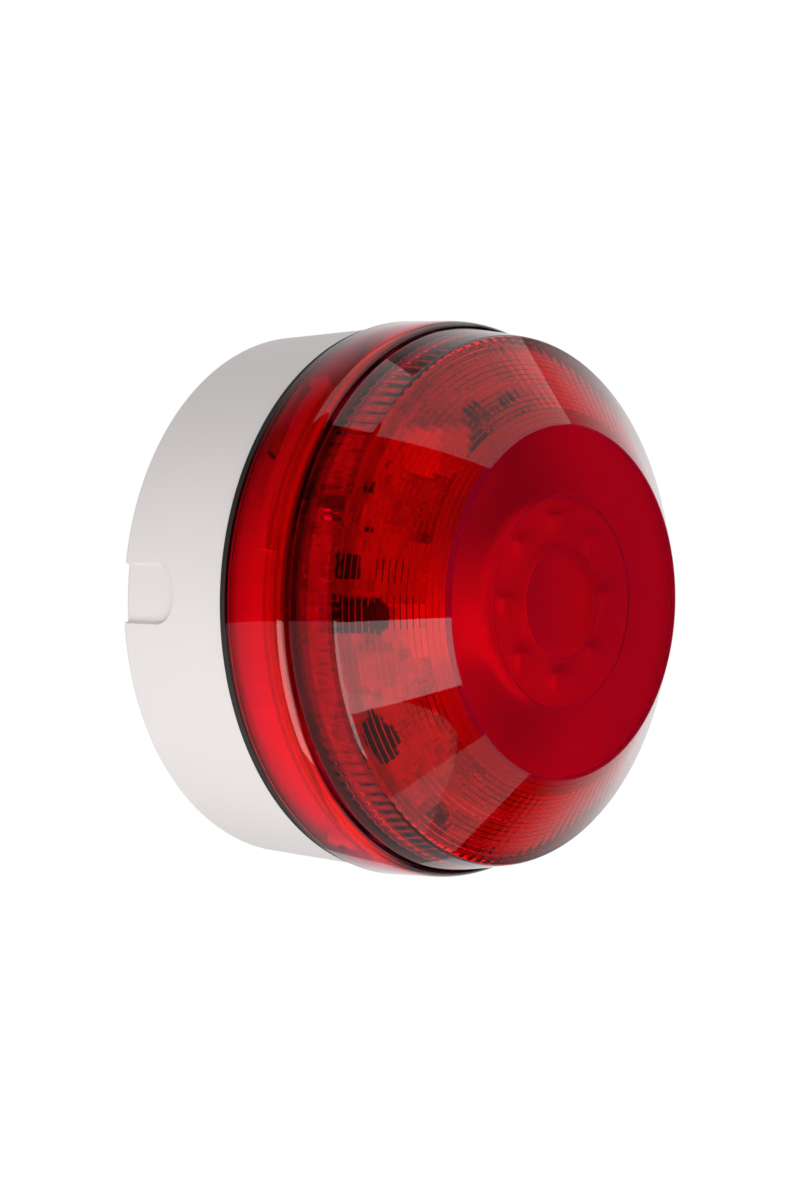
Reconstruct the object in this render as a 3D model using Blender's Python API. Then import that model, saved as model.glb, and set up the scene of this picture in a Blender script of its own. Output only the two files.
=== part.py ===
"""A round wall-mounted horn strobe: white drum base, red twist-off lens, LED turret and piezo horn.

The wall is the plane y = 0 and the strobe faces -Y, with +Z up. "Depth" below always means the
distance from the wall along -Y. Every size is in metres, written as millimetres times MM.
"""

import math

import bmesh
import bpy
from mathutils import Matrix, Vector

MM = 0.001
GAP = 0.3 * MM  # clearance left between two parts that touch
EMBED = 0.4 * MM  # how far a shape sinks into the one that it is joined to
ROUND = 64  # facets of a large round part
SMALL_ROUND = 20  # facets of a small round part

# Mounting base
BASE_REAR_R = 46.1 * MM
BASE_FRONT_R = 48.0 * MM
BASE_HEIGHT = 24.5 * MM
BASE_WALL = 2.4 * MM
BASE_FLOOR = 3.0 * MM
BASE_CHAMFER = 0.5 * MM

# Knock-outs in the sides of the base
KNOCKOUT_WIDTH = 10.3 * MM
KNOCKOUT_HEIGHT = 12.4 * MM
KNOCKOUT_CORNER = 4.6 * MM
KNOCKOUT_RECESS = 0.8 * MM
KNOCKOUT_TURN = 2.9  # degrees, by which both sit off the level line

# Wall fixings and cable entry in the floor of the base
FIXING_OFFSET = 30.0 * MM
FIXING_WIDTH = 4.5 * MM
FIXING_LENGTH = 8.5 * MM
ENTRY_R = 10.0 * MM
ENTRY_EDGE = 2.6 * MM  # from the grommet's flange to the boss above it
CABLE_R = 4.0 * MM
GROMMET_FLANGE_R = 12.2 * MM
GROMMET_FLANGE = 1.5 * MM
GROMMET_NOSE = 4.2 * MM

# Piezo horn on the floor of the base
HORN_Z = -20.0 * MM
HORN_CASE_R = 14.5 * MM
HORN_CASE_HEIGHT = 9.0 * MM
HORN_CASE_WALL = 1.5 * MM
HORN_THROAT_R = 2.5 * MM
HORN_MOUTH_R = 9.6 * MM
HORN_DEPTH = 3.0 * MM
DIAPHRAGM_THICK = 0.6 * MM
CERAMIC_R = 7.0 * MM
CERAMIC_THICK = 0.4 * MM
SOUND_RECESS_R = 12.0 * MM
SOUND_RECESS = 1.4 * MM
SOUND_CHANNEL = 6.0 * MM
SOUND_HOLE_R = 1.4 * MM
SOUND_HOLE_RING = 6.5 * MM
SOUND_HOLES = 6

# Chassis that closes the base and carries the lens thread
CHASSIS_DECK = 2.0 * MM
COLLAR_WALL = 1.8 * MM
COLLAR_RUN = 0.4 * MM  # gap from the collar to the wall of the base
COLLAR_SKIRT = 2.4 * MM
COLLAR_HEIGHT = 5.6 * MM  # above the front of the deck
BOSS_R = 3.6 * MM
BOSS_EDGE = 0.5 * MM  # from a boss to the collar's skirt
BOSS_ANGLES = (90, 210, 330)
WIRE_HOLE_R = 4.5 * MM
WIRE_HOLE_Z = -10.0 * MM
CABLE_HOLE_R = 5.5 * MM
CABLE_HOLE_ANGLE = 60
CABLE_HOLE_EDGE = 5.5 * MM  # from the hole to the board's edge

# Screws
SCREW_R = 1.4 * MM
SCREW_HEAD_R = 2.9 * MM
SCREW_HEAD = 2.0 * MM
SCREW_LENGTH = 9.0 * MM
SCREW_SLOT = 0.8 * MM
SCREW_CLEARANCE = 0.35 * MM

# Main board
BOARD_THICK = 1.6 * MM
BOARD_RUN = 0.5 * MM  # gap from the board's edge to the collar
BOARD_STANDOFF = 4.1 * MM
POST_R = 2.8 * MM
POST_EDGE = 2.2 * MM  # from a post to the board's edge
POST_ANGLES = (30, 150, 270)

# Seal between base and lens
SEAL_THICK = 1.1 * MM
SEAL_INSET = 0.4 * MM  # how far the seal stays inside the lens's outside

# Lens
LENS_R = 49.0 * MM
LENS_FLANGE = 9.8 * MM
LENS_EDGE = 0.4 * MM
LENS_SHOULDER = 3.3 * MM
LENS_SHOULDER_IN = 1.2 * MM
LENS_NECK_REAR_R = 47.6 * MM
LENS_NECK_R = 46.6 * MM
LENS_NECK = 8.9 * MM
LENS_CONE = 13.8 * MM
LENS_FACE_R = 31.3 * MM
LENS_WALL = 2.2 * MM
LENS_FLANGE_WALL = 2.6 * MM
LENS_CORNER = 0.8 * MM
ARC_STEPS = 4

# Thread: three ribs on the collar, three lugs in the lens
THREAD_LEAD = 21.6 * MM
THREAD_STARTS = 3
THREAD_AT = 1.7  # degrees; it keeps rib ends off the collar's own corners
RIB_SPAN = 45.0
RIB_THICK = 1.4 * MM
RIB_OUT = 1.7 * MM
RIB_LOW = 2.0 * MM  # underside of a rib's low end, above the rear of the lens
STOP_SPAN = 2.5
LUG_START = 4.0
LUG_SPAN = 20.0
LUG_THICK = 1.3 * MM
LUG_RUN = 0.7 * MM  # gap from a lug to the collar
HELIX_STEP = 5.0  # degrees between sections of a rib or lug

# LED turret
TURRET_APOTHEM = 9.5 * MM
TURRET_HEIGHT = 22.6 * MM
TURRET_WALL = 1.2 * MM
TURRET_SIDES = 6
TOP_BOARD_R = 18.2 * MM
TOP_BOARD = 1.4 * MM
TOP_LEDS = 8
TOP_LED_RING_R = 13.8 * MM
SIDE_LED_ROWS = (8.0 * MM, 16.0 * MM)
LED_LONG = 3.5 * MM
LED_WIDE = 2.8 * MM
LED_TALL = 1.6 * MM
LED_WELL_R = 1.1 * MM
LED_WELL = 0.5 * MM
CENTRE_OPTIC_R = 9.6 * MM
CENTRE_OPTIC_RIM = 0.8 * MM
CENTRE_OPTIC_TALL = 1.5 * MM

# Parts on the main board: centre x, centre z, and their own sizes
CAPACITOR_AT = (-25.0 * MM, -1.8 * MM)
CAPACITOR_R = 3.1 * MM
CAPACITOR_TALL = 9.0 * MM
SMALL_CAPACITOR_AT = (17.5 * MM, 14.0 * MM)
SMALL_CAPACITOR_R = 2.5 * MM
SMALL_CAPACITOR_TALL = 7.0 * MM
RECTIFIER_AT = (-23.5 * MM, 6.2 * MM)
RECTIFIER_SIZE = (5.0 * MM, 2.6 * MM, 4.0 * MM)
INDUCTOR_AT = (-16.5 * MM, -10.5 * MM)
INDUCTOR_SIZE = (7.0 * MM, 4.0 * MM, 7.0 * MM)
DRIVER_AT = (-14.0 * MM, -22.6 * MM)
DRIVER_SIZE = (8.7 * MM, 1.7 * MM, 4.0 * MM)
DRIVER_TURN = 30.0
DRIVER_LEADS = 7
LEAD_PITCH = 1.27 * MM
TRANSFORMER_AT = (-2.0 * MM, 25.0 * MM)
TRANSFORMER_SIZE = (9.0 * MM, 7.5 * MM, 8.0 * MM)
TERMINAL_AT = (27.0 * MM, 0.0)
TERMINAL_SIZE = (8.0 * MM, 10.0 * MM, 20.4 * MM)
TERMINAL_WAYS = 4
TERMINAL_PITCH = 5.0 * MM
TERMINAL_SCREW_R = 1.6 * MM
TERMINAL_WELL = 4.5 * MM
TERMINAL_MOUTH = 3.4 * MM
DIP_AT = (12.5 * MM, -26.0 * MM)
DIP_SIZE = (11.6 * MM, 3.6 * MM, 6.4 * MM)
DIP_WAYS = 4
DIP_PITCH = 2.54 * MM
DIP_TRAVEL = 1.4 * MM
DIP_KNOB = 1.1 * MM
DIP_KNOB_TALL = 1.5 * MM
DIP_SLOT = 1.2 * MM  # depth of the well that a slider runs in
TRIMMER_AT = (24.0 * MM, -17.5 * MM)
TRIMMER_SIZE = (6.6 * MM, 3.6 * MM, 6.6 * MM)
TRIMMER_ROTOR_R = 2.1 * MM
TRIMMER_ROTOR = 1.3 * MM
TRIMMER_SLOT = 0.7 * MM

# Leads from the horn to the board
LEAD_R = 0.6 * MM
LEAD_OFFSET = 1.6 * MM

# Depths from the wall, worked out from the sizes above
BOSS_TOP = BASE_HEIGHT + 0.7 * MM
DECK_REAR = BOSS_TOP + GAP
DECK_FRONT = DECK_REAR + CHASSIS_DECK
COLLAR_TOP = DECK_FRONT + COLLAR_HEIGHT
BOARD_REAR = DECK_FRONT + BOARD_STANDOFF
BOARD_FRONT = BOARD_REAR + BOARD_THICK
SEAL_REAR = BASE_HEIGHT + GAP
LENS_REAR = SEAL_REAR + SEAL_THICK + GAP
LENS_FLANGE_TOP = LENS_REAR + LENS_FLANGE
LENS_NECK_REAR = LENS_FLANGE_TOP + LENS_SHOULDER + 0.2 * MM
LENS_CONE_REAR = LENS_NECK_REAR + LENS_NECK
LENS_FRONT = LENS_CONE_REAR + LENS_CONE
PART_REAR = BOARD_FRONT + GAP  # where a part on the main board starts
TURRET_TOP = PART_REAR + TURRET_HEIGHT
TOP_BOARD_REAR = TURRET_TOP + GAP
TOP_LED_REAR = TOP_BOARD_REAR + TOP_BOARD + GAP
HORN_REAR = BASE_FLOOR + GAP

# Radii worked out from the sizes above
BASE_INNER_R = BASE_REAR_R - BASE_WALL
COLLAR_R = BASE_INNER_R - COLLAR_RUN
COLLAR_INNER_R = COLLAR_R - COLLAR_WALL
BOARD_R = COLLAR_INNER_R - BOARD_RUN
BOSS_RING_R = COLLAR_INNER_R - BOSS_EDGE - BOSS_R
POST_RING_R = BOARD_R - POST_EDGE - POST_R
CABLE_RING_R = BOARD_R - CABLE_HOLE_EDGE - CABLE_HOLE_R
ENTRY_Z = BOSS_RING_R - BOSS_R - ENTRY_EDGE - GROMMET_FLANGE_R
RIB_R = COLLAR_R + RIB_OUT
SEAL_INNER_R = RIB_R + GAP
SEAL_R = LENS_R - SEAL_INSET
LENS_FLANGE_INNER_R = LENS_R - LENS_FLANGE_WALL
LUG_INNER_R = COLLAR_R + LUG_RUN


def material(name, colour, roughness, metallic=0.0, transmission=0.0):
    """A plain Principled BSDF, made once for each name."""
    made = bpy.data.materials.new(name)
    made.use_nodes = True
    shader = made.node_tree.nodes["Principled BSDF"]
    shader.inputs["Base Color"].default_value = (*colour, 1.0)
    shader.inputs["Roughness"].default_value = roughness
    shader.inputs["Metallic"].default_value = metallic
    shader.inputs["Transmission Weight"].default_value = transmission
    made.diffuse_color = (*colour, 1.0)
    return made


def place(x, depth, z):
    """The point at that depth in front of the wall."""
    return Vector((x, -depth, z))


def on_ring(radius, degrees, depth):
    """The point on a ring about the strobe's axis, counted anticlockwise as seen from the front."""
    angle = math.radians(degrees)
    return place(radius * math.cos(angle), depth, radius * math.sin(angle))


def new_object(name, mesh_builder, finish=None, at=(0, 0, 0)):
    """An object whose mesh is what mesh_builder leaves in an empty bmesh, with its normals outwards."""
    mesh = bpy.data.meshes.new(name)
    shape = bmesh.new()
    mesh_builder(shape)
    bmesh.ops.remove_doubles(shape, verts=shape.verts, dist=1e-7)
    bmesh.ops.recalc_face_normals(shape, faces=shape.faces)
    shape.to_mesh(mesh)
    shape.free()
    made = bpy.data.objects.new(name, mesh)
    made.location = at
    bpy.context.scene.collection.objects.link(made)
    if finish:
        mesh.materials.append(finish)
    return made


def smooth(made, degrees=35):
    """Shades a round part smooth, with its corners kept sharp."""
    made.data.shade_smooth()
    made.data.set_sharp_from_angle(angle=math.radians(degrees))
    return made


def turned(name, profile, finish=None, at=(0, 0, 0), steps=ROUND, closed=True):
    """A solid of revolution about the Y axis through at. The profile is a list of (radius, depth).

    A flat end becomes one face, because a cutter is cleaner on it than on a fan of triangles.
    """

    def build(shape):
        points = [shape.verts.new((radius, -depth, 0)) for radius, depth in profile]
        pairs = list(zip(points, points[1:]))
        if closed:
            pairs.append((points[-1], points[0]))
        edges = [shape.edges.new(pair) for pair in pairs]
        bmesh.ops.spin(
            shape,
            geom=points + edges,
            cent=(0, 0, 0),
            axis=(0, 1, 0),
            angle=math.tau,
            steps=steps,
            use_merge=True,
        )
        bmesh.ops.remove_doubles(shape, verts=shape.verts, dist=1e-7)
        poles = [point for point in shape.verts if math.hypot(point.co.x, point.co.z) < 1e-7]
        bmesh.ops.dissolve_verts(shape, verts=poles)

    return smooth(new_object(name, build, finish, at))


def capped(name, profile, finish=None, at=(0, 0, 0), steps=SMALL_ROUND):
    """A turned solid whose profile starts and ends on the axis."""
    return turned(name, profile, finish, at, steps, closed=False)


def rod(name, radius, rear, front, x=0.0, z=0.0, finish=None, steps=SMALL_ROUND):
    """A plain cylinder along the depth, from rear to front."""
    profile = [(0, rear), (radius, rear), (radius, front), (0, front)]
    return capped(name, profile, finish, (x, 0, z), steps)


def block(name, size, centre, finish=None, turn=None, bevel=0.0):
    """A box of that x, y and z size about its centre, with its edges bevelled if asked."""

    def build(shape):
        bmesh.ops.create_cube(shape, size=1.0, matrix=Matrix.Diagonal((*size, 1.0)))
        if bevel:
            bmesh.ops.bevel(
                shape,
                geom=shape.edges[:],
                offset=bevel,
                offset_type="OFFSET",
                segments=1,
                profile=0.5,
                affect="EDGES",
            )

    made = new_object(name, build, finish, centre)
    if turn is not None:
        made.rotation_euler = turn
    return made


def boolean(target, other, operation):
    """Cuts or joins other into target, and keeps other as a hidden helper."""
    other.hide_render = True
    other.display_type = "WIRE"
    modifier = target.modifiers.new(f"{operation.lower()} {other.name}", "BOOLEAN")
    modifier.object = other
    modifier.operation = operation
    modifier.solver = "EXACT"


def cut(target, *others):
    """Cuts each helper out of target."""
    for other in others:
        boolean(target, other, "DIFFERENCE")
    return target


def join(target, *others):
    """Joins each helper to target, so that they are one moulding."""
    for other in others:
        boolean(target, other, "UNION")
    return target


def arc(centre, radius, start, end, steps=ARC_STEPS):
    """Points (radius, depth) on a round corner, from one angle to another in degrees."""
    turns = [math.radians(start + (end - start) * i / steps) for i in range(steps + 1)]
    return [
        (centre[0] + radius * math.cos(a), centre[1] + radius * math.sin(a)) for a in turns
    ]


def helix(name, start, span, rear, thick, inner, outer):
    """A block bent round the axis that climbs with the thread. Start and span are in degrees."""

    def build(shape):
        steps = max(1, round(span / HELIX_STEP))
        rings = []
        for i in range(steps + 1):
            along = span * i / steps
            climb = THREAD_LEAD * along / 360
            corners = (
                (inner, rear + climb),
                (outer, rear + climb),
                (outer, rear + climb + thick),
                (inner, rear + climb + thick),
            )
            rings.append([shape.verts.new(on_ring(r, start + along, d)) for r, d in corners])
        for low, high in zip(rings, rings[1:]):
            for k in range(4):
                shape.faces.new((low[k], low[k - 1], high[k - 1], high[k]))
        shape.faces.new(rings[0])
        shape.faces.new(reversed(rings[-1]))

    return new_object(name, build)


def rounded_outline(width, height, corner):
    """Points (across, along) of a tab that is open at its root and round at its far corners."""
    half = width / 2
    right = arc((half - corner, height - corner), corner, 0, 90)
    left = arc((corner - half, height - corner), corner, 90, 180)
    return [(half, -height), *right, *left, (-half, -height)]


def prism(name, outline, low, high):
    """An outline in z and depth, extruded along X from low to high."""

    def build(shape):
        face = shape.faces.new([shape.verts.new((low, -d, z)) for z, d in outline])
        raised = bmesh.ops.extrude_face_region(shape, geom=[face])["geom"]
        points = [item for item in raised if isinstance(item, bmesh.types.BMVert)]
        bmesh.ops.translate(shape, verts=points, vec=(high - low, 0, 0))

    return new_object(name, build)


def slot(name, x, z, length, width, rear, front):
    """A cutter for a slot with round ends, its length along X."""

    def build(shape):
        half = (length - width) / 2
        ends = [(half, -90), (-half, 90)]
        points = []
        for centre, first in ends:
            for i in range(ARC_STEPS * 2 + 1):
                angle = math.radians(first + 180 * i / (ARC_STEPS * 2))
                across = centre + width / 2 * math.cos(angle)
                points.append(shape.verts.new((across, -rear, width / 2 * math.sin(angle))))
        face = shape.faces.new(points)
        raised = bmesh.ops.extrude_face_region(shape, geom=[face])["geom"]
        moved = [item for item in raised if isinstance(item, bmesh.types.BMVert)]
        bmesh.ops.translate(shape, verts=moved, vec=(0, rear - front, 0))

    return new_object(name, build, at=(x, 0, z))


def tube(name, points, radius, finish):
    """A round lead along a smooth curve through the points."""
    curve = bpy.data.curves.new(name, "CURVE")
    curve.dimensions = "3D"
    curve.bevel_depth = radius
    curve.bevel_resolution = 2
    curve.use_fill_caps = True
    spline = curve.splines.new("POLY")
    smoothed = catmull_rom(points, 5)
    spline.points.add(len(smoothed) - 1)
    for target, point in zip(spline.points, smoothed):
        target.co = (*point, 1)
    made = bpy.data.objects.new(name, curve)
    bpy.context.scene.collection.objects.link(made)
    curve.materials.append(finish)
    return made


def catmull_rom(points, steps):
    """Points along a smooth curve that passes through each given point."""
    ends = [points[0] * 2 - points[1], *points, points[-1] * 2 - points[-2]]
    out = []
    for a, b, c, d in zip(ends, ends[1:], ends[2:], ends[3:]):
        for i in range(steps):
            t = i / steps
            out.append(
                0.5
                * (2 * b + (c - a) * t + (2 * a - 5 * b + 4 * c - d) * t**2 + (3 * (b - c) + d - a) * t**3)
            )
    return [*out, points[-1]]


def screw(name, x, z, head_rear, finish, length=SCREW_LENGTH, radius=SCREW_R):
    """A pan-head screw that points at the wall, with a slotted head."""
    head_front = head_rear + SCREW_HEAD
    dome = SCREW_HEAD_R * 0.72
    profile = [
        (0, head_rear - length),
        (radius * 0.5, head_rear - length),
        (radius, head_rear - length + radius * 1.5),
        (radius, head_rear),
        (SCREW_HEAD_R, head_rear),
        (SCREW_HEAD_R, head_rear + SCREW_HEAD * 0.5),
        (dome, head_front),
        (0, head_front),
    ]
    made = capped(name, profile, finish, (x, 0, z), 16)
    width = SCREW_HEAD_R * 3
    groove = (width, SCREW_HEAD, SCREW_SLOT)
    return cut(made, block(f"{name}_slot", groove, place(x, head_front + SCREW_HEAD * 0.1, z)))


def mounting_base(finish):
    """The white drum that is screwed to the wall."""
    profile = [
        (0, 0),
        (BASE_REAR_R - BASE_CHAMFER, 0),
        (BASE_REAR_R, BASE_CHAMFER),
        (BASE_FRONT_R, BASE_HEIGHT),
        (BASE_INNER_R + COLLAR_RUN, BASE_HEIGHT),
        (BASE_INNER_R, BASE_FLOOR),
        (0, BASE_FLOOR),
    ]
    base = turned("mounting_base", profile, finish, closed=False)
    for angle in BOSS_ANGLES:
        at = on_ring(BOSS_RING_R, angle, 0)
        join(base, rod(f"base_boss_{angle}", BOSS_R, BASE_FLOOR - EMBED, BOSS_TOP, at.x, at.z))
        pilot_r = SCREW_R + SCREW_CLEARANCE
        pilot_end = DECK_FRONT - SCREW_LENGTH - 2 * MM
        cut(base, rod(f"base_pilot_{angle}", pilot_r, pilot_end, BOSS_TOP + 1 * MM, at.x, at.z, steps=16))
    cut(base, *knockout_cutters(), *floor_cutters())
    return base


def knockout_cutters():
    """Shallow curved recesses, one in each side of the base, where a cable can be let in."""
    cutters = []
    outline = rounded_outline(KNOCKOUT_WIDTH, KNOCKOUT_HEIGHT, KNOCKOUT_CORNER)
    reach = BASE_FRONT_R + 4 * MM
    for side, name in ((-1, "left"), (1, "right")):
        low, high = sorted((side * BASE_REAR_R * 0.8, side * reach))
        cutter = prism(f"knockout_{name}", outline, low, high)
        cutter.data.transform(Matrix.Rotation(math.radians(KNOCKOUT_TURN), 4, "Y"))
        core_r = BASE_REAR_R - KNOCKOUT_RECESS
        core = rod(f"knockout_core_{name}", core_r, -KNOCKOUT_HEIGHT * 2, KNOCKOUT_HEIGHT * 2, steps=ROUND)
        cutters.append(cut(cutter, core))
    return cutters


def floor_cutters():
    """Wall fixing slots, the cable entry, and the horn's rear sound path to the lower rim."""
    past = 1 * MM
    deep = BASE_FLOOR + past
    cutters = [
        slot(f"fixing_{name}", side * FIXING_OFFSET, 0, FIXING_LENGTH, FIXING_WIDTH, -past, deep)
        for side, name in ((-1, "left"), (1, "right"))
    ]
    cutters.append(rod("entry", ENTRY_R, -past, deep, 0, ENTRY_Z, steps=32))
    cutters.append(rod("sound_recess", SOUND_RECESS_R, -past, SOUND_RECESS, 0, HORN_Z, steps=32))
    start = HORN_Z - SOUND_RECESS_R + past
    length = BASE_FRONT_R + start + past
    channel = SOUND_RECESS - 0.2 * MM
    size = (SOUND_CHANNEL, channel + past, length)
    centre = place(0, (channel - past) / 2, start - length / 2)
    cutters.append(block("sound_channel", size, centre))
    for i in range(SOUND_HOLES + 1):
        ring = SOUND_HOLE_RING if i else 0
        at = on_ring(ring, 360 * i / SOUND_HOLES, 0)
        cutters.append(rod(f"sound_hole_{i}", SOUND_HOLE_R, -past, deep, at.x, HORN_Z + at.z, steps=10))
    return cutters


def cable_grommet(finish):
    """The rubber grommet in the rear cable entry, with a tapered nose."""
    flange = BASE_FLOOR + GAP
    nose = flange + GROMMET_FLANGE + GROMMET_NOSE
    profile = [
        (CABLE_R, GAP),
        (ENTRY_R - GAP, GAP),
        (ENTRY_R - GAP, flange),
        (GROMMET_FLANGE_R, flange),
        (GROMMET_FLANGE_R, flange + GROMMET_FLANGE),
        (CABLE_R * 2, flange + GROMMET_FLANGE),
        (CABLE_R + 1 * MM, nose),
        (CABLE_R, nose),
    ]
    return turned("cable_grommet", profile, finish, (0, 0, ENTRY_Z), 32)


def horn(case_finish, horn_finish, disc_finish):
    """The piezo horn: a flared throat, a brass diaphragm with its ceramic, and a case over both."""
    at = (0, 0, HORN_Z)
    inner = HORN_CASE_R - HORN_CASE_WALL
    throat = HORN_REAR + HORN_DEPTH
    flare = [
        (HORN_THROAT_R + (HORN_MOUTH_R - HORN_THROAT_R) * t**2, throat - HORN_DEPTH * t)
        for t in (0, 0.35, 0.7, 1)
    ]
    outer = inner - GAP
    turned("sounder_horn", [*flare, (outer, HORN_REAR), (outer, throat)], horn_finish, at, 32)
    disc = throat + GAP
    back = disc + DIAPHRAGM_THICK
    steps = [(0, disc), (outer, disc), (outer, back), (CERAMIC_R, back)]
    top = [(CERAMIC_R, back + CERAMIC_THICK), (0, back + CERAMIC_THICK)]
    capped("piezo_diaphragm", [*steps, *top], disc_finish, at, 32)
    roof = HORN_REAR + HORN_CASE_HEIGHT
    ledge = back + GAP
    pinch = outer - 1.2 * MM
    profile = [
        (inner, HORN_REAR),
        (HORN_CASE_R, HORN_REAR),
        (HORN_CASE_R, roof - 0.6 * MM),
        (HORN_CASE_R - 0.6 * MM, roof),
        (0, roof),
        (0, roof - HORN_CASE_WALL),
        (pinch, roof - HORN_CASE_WALL),
        (pinch, ledge),
        (inner, ledge),
    ]
    case = turned("sounder_case", profile, case_finish, at, 32)
    for side in (-1, 1):
        x = side * LEAD_OFFSET
        name = f"lead_exit_{'left' if side < 0 else 'right'}"
        cut(case, rod(name, LEAD_R + GAP, roof - 2 * HORN_CASE_WALL, roof + 1 * MM, x, HORN_Z, steps=12))
    return roof


def chassis(finish):
    """The deck that closes the base, with the collar that the lens turns onto."""
    skirt = DECK_REAR - COLLAR_SKIRT
    profile = [
        (0, DECK_REAR),
        (COLLAR_INNER_R, DECK_REAR),
        (COLLAR_INNER_R, skirt),
        (COLLAR_R, skirt),
        (COLLAR_R, COLLAR_TOP - LENS_EDGE),
        (COLLAR_R - LENS_EDGE, COLLAR_TOP),
        (COLLAR_INNER_R, COLLAR_TOP),
        (COLLAR_INNER_R, DECK_FRONT),
        (0, DECK_FRONT),
    ]
    deck = turned("chassis", profile, finish, closed=False)
    hole_r = SCREW_R + SCREW_CLEARANCE
    deep = (DECK_REAR - 1 * MM, DECK_FRONT + 1 * MM)
    for angle in POST_ANGLES:
        at = on_ring(POST_RING_R, angle, 0)
        post = rod(f"board_post_{angle}", POST_R, DECK_FRONT - EMBED, BOARD_REAR - GAP, at.x, at.z)
        join(deck, post)
        cut(deck, rod(f"post_pilot_{angle}", hole_r, DECK_REAR - 1 * MM, BOARD_REAR, at.x, at.z, steps=16))
    for angle in BOSS_ANGLES:
        at = on_ring(BOSS_RING_R, angle, 0)
        cut(deck, rod(f"deck_hole_{angle}", hole_r, *deep, at.x, at.z, steps=16))
    cut(deck, rod("wire_hole", WIRE_HOLE_R, *deep, 0, WIRE_HOLE_Z))
    cable = on_ring(CABLE_RING_R, CABLE_HOLE_ANGLE, 0)
    cut(deck, rod("deck_cable_hole", CABLE_HOLE_R, *deep, cable.x, cable.z))
    low = LENS_REAR + RIB_LOW
    inner = COLLAR_R - EMBED
    for i in range(THREAD_STARTS):
        start = 360 / THREAD_STARTS * i + THREAD_AT
        join(deck, helix(f"thread_rib_{i}", start, RIB_SPAN, low, RIB_THICK, inner, RIB_R))
        foot = low - LUG_THICK - EMBED
        tall = low - foot + EMBED
        sides = (inner - 0.1 * MM, RIB_R - 0.1 * MM)
        join(deck, helix(f"thread_stop_{i}", start + 0.3, STOP_SPAN, foot, tall, *sides))
    return deck


def main_board(finish):
    """The round circuit board on the chassis posts."""
    board = rod("main_board", BOARD_R, BOARD_REAR, BOARD_FRONT, finish=finish, steps=ROUND)
    deep = (BOARD_REAR - 1 * MM, BOARD_FRONT + 1 * MM)
    for angle in POST_ANGLES:
        at = on_ring(POST_RING_R, angle, 0)
        cut(board, rod(f"board_hole_{angle}", SCREW_R + SCREW_CLEARANCE, *deep, at.x, at.z, steps=16))
    cable = on_ring(CABLE_RING_R, CABLE_HOLE_ANGLE, 0)
    cut(board, rod("board_cable_hole", CABLE_HOLE_R, *deep, cable.x, cable.z))
    return board


def screws(finish):
    """Three screws that hold the chassis to the base, and three that hold the board."""
    for i, angle in enumerate(BOSS_ANGLES, 1):
        at = on_ring(BOSS_RING_R, angle, 0)
        screw(f"chassis_screw_{i}", at.x, at.z, DECK_FRONT + GAP, finish)
    for i, angle in enumerate(POST_ANGLES, 1):
        at = on_ring(POST_RING_R, angle, 0)
        length = BOARD_FRONT + GAP - DECK_REAR
        screw(f"board_screw_{i}", at.x, at.z, BOARD_FRONT + GAP, finish, length)


def seal_ring(finish):
    """The flat black ring between the base and the lens."""
    front = SEAL_REAR + SEAL_THICK
    edge = 0.2 * MM
    profile = [
        (SEAL_INNER_R, SEAL_REAR),
        (SEAL_R - edge, SEAL_REAR),
        (SEAL_R, SEAL_REAR + edge),
        (SEAL_R, front - edge),
        (SEAL_R - edge, front),
        (SEAL_INNER_R, front),
    ]
    return turned("seal_ring", profile, finish)


def lens_outside():
    """Profile of the lens's outer surface, from its rear edge to the centre of its face."""
    shoulder = [
        (LENS_R - LENS_SHOULDER_IN * (1 - math.cos(t)), LENS_FLANGE_TOP + LENS_SHOULDER * math.sin(t))
        for t in (math.radians(90 * i / ARC_STEPS) for i in range(ARC_STEPS + 1))
    ]
    slope = math.degrees(math.atan2(LENS_NECK_R - LENS_FACE_R, LENS_CONE))
    neck = arc((LENS_NECK_R - LENS_CORNER, LENS_CONE_REAR), LENS_CORNER, 0, 90 - slope, 2)
    rim = arc((LENS_FACE_R - LENS_CORNER, LENS_FRONT - LENS_CORNER), LENS_CORNER, 90 - slope, 90, 2)
    return [
        (LENS_R - LENS_EDGE, LENS_REAR),
        (LENS_R, LENS_REAR + LENS_EDGE),
        *shoulder,
        (LENS_NECK_REAR_R, LENS_NECK_REAR),
        *neck,
        *rim,
        (0, LENS_FRONT),
    ]


def lens_inside():
    """Profile of the lens's inner surface, from the centre of its face back to its rear edge."""
    run = math.hypot(LENS_NECK_R - LENS_FACE_R, LENS_CONE)
    back_off = LENS_WALL * run / (LENS_NECK_R - LENS_FACE_R)
    slope = LENS_CONE / (LENS_NECK_R - LENS_FACE_R)
    face_r = LENS_FACE_R - (back_off - LENS_WALL) / slope
    neck_r = LENS_NECK_R - LENS_WALL
    cone_rear = LENS_CONE_REAR - back_off + LENS_WALL * slope
    return [
        (0, LENS_FRONT - LENS_WALL),
        (face_r, LENS_FRONT - LENS_WALL),
        (neck_r, cone_rear),
        (neck_r, LENS_NECK_REAR),
        (LENS_FLANGE_INNER_R, LENS_FLANGE_TOP),
        (LENS_FLANGE_INNER_R, LENS_REAR),
    ]


def lens(finish):
    """The red lens, with three lugs inside its flange that ride under the collar's ribs."""
    made = turned("lens", [*lens_inside(), *lens_outside()], finish, closed=False)
    low = LENS_REAR + RIB_LOW - GAP - LUG_THICK + THREAD_LEAD * LUG_START / 360
    for i in range(THREAD_STARTS):
        start = 360 / THREAD_STARTS * i + THREAD_AT + LUG_START
        lug_outer = LENS_FLANGE_INNER_R + EMBED
        join(made, helix(f"thread_lug_{i}", start, LUG_SPAN, low, LUG_THICK, LUG_INNER_R, lug_outer))
    return made


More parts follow.
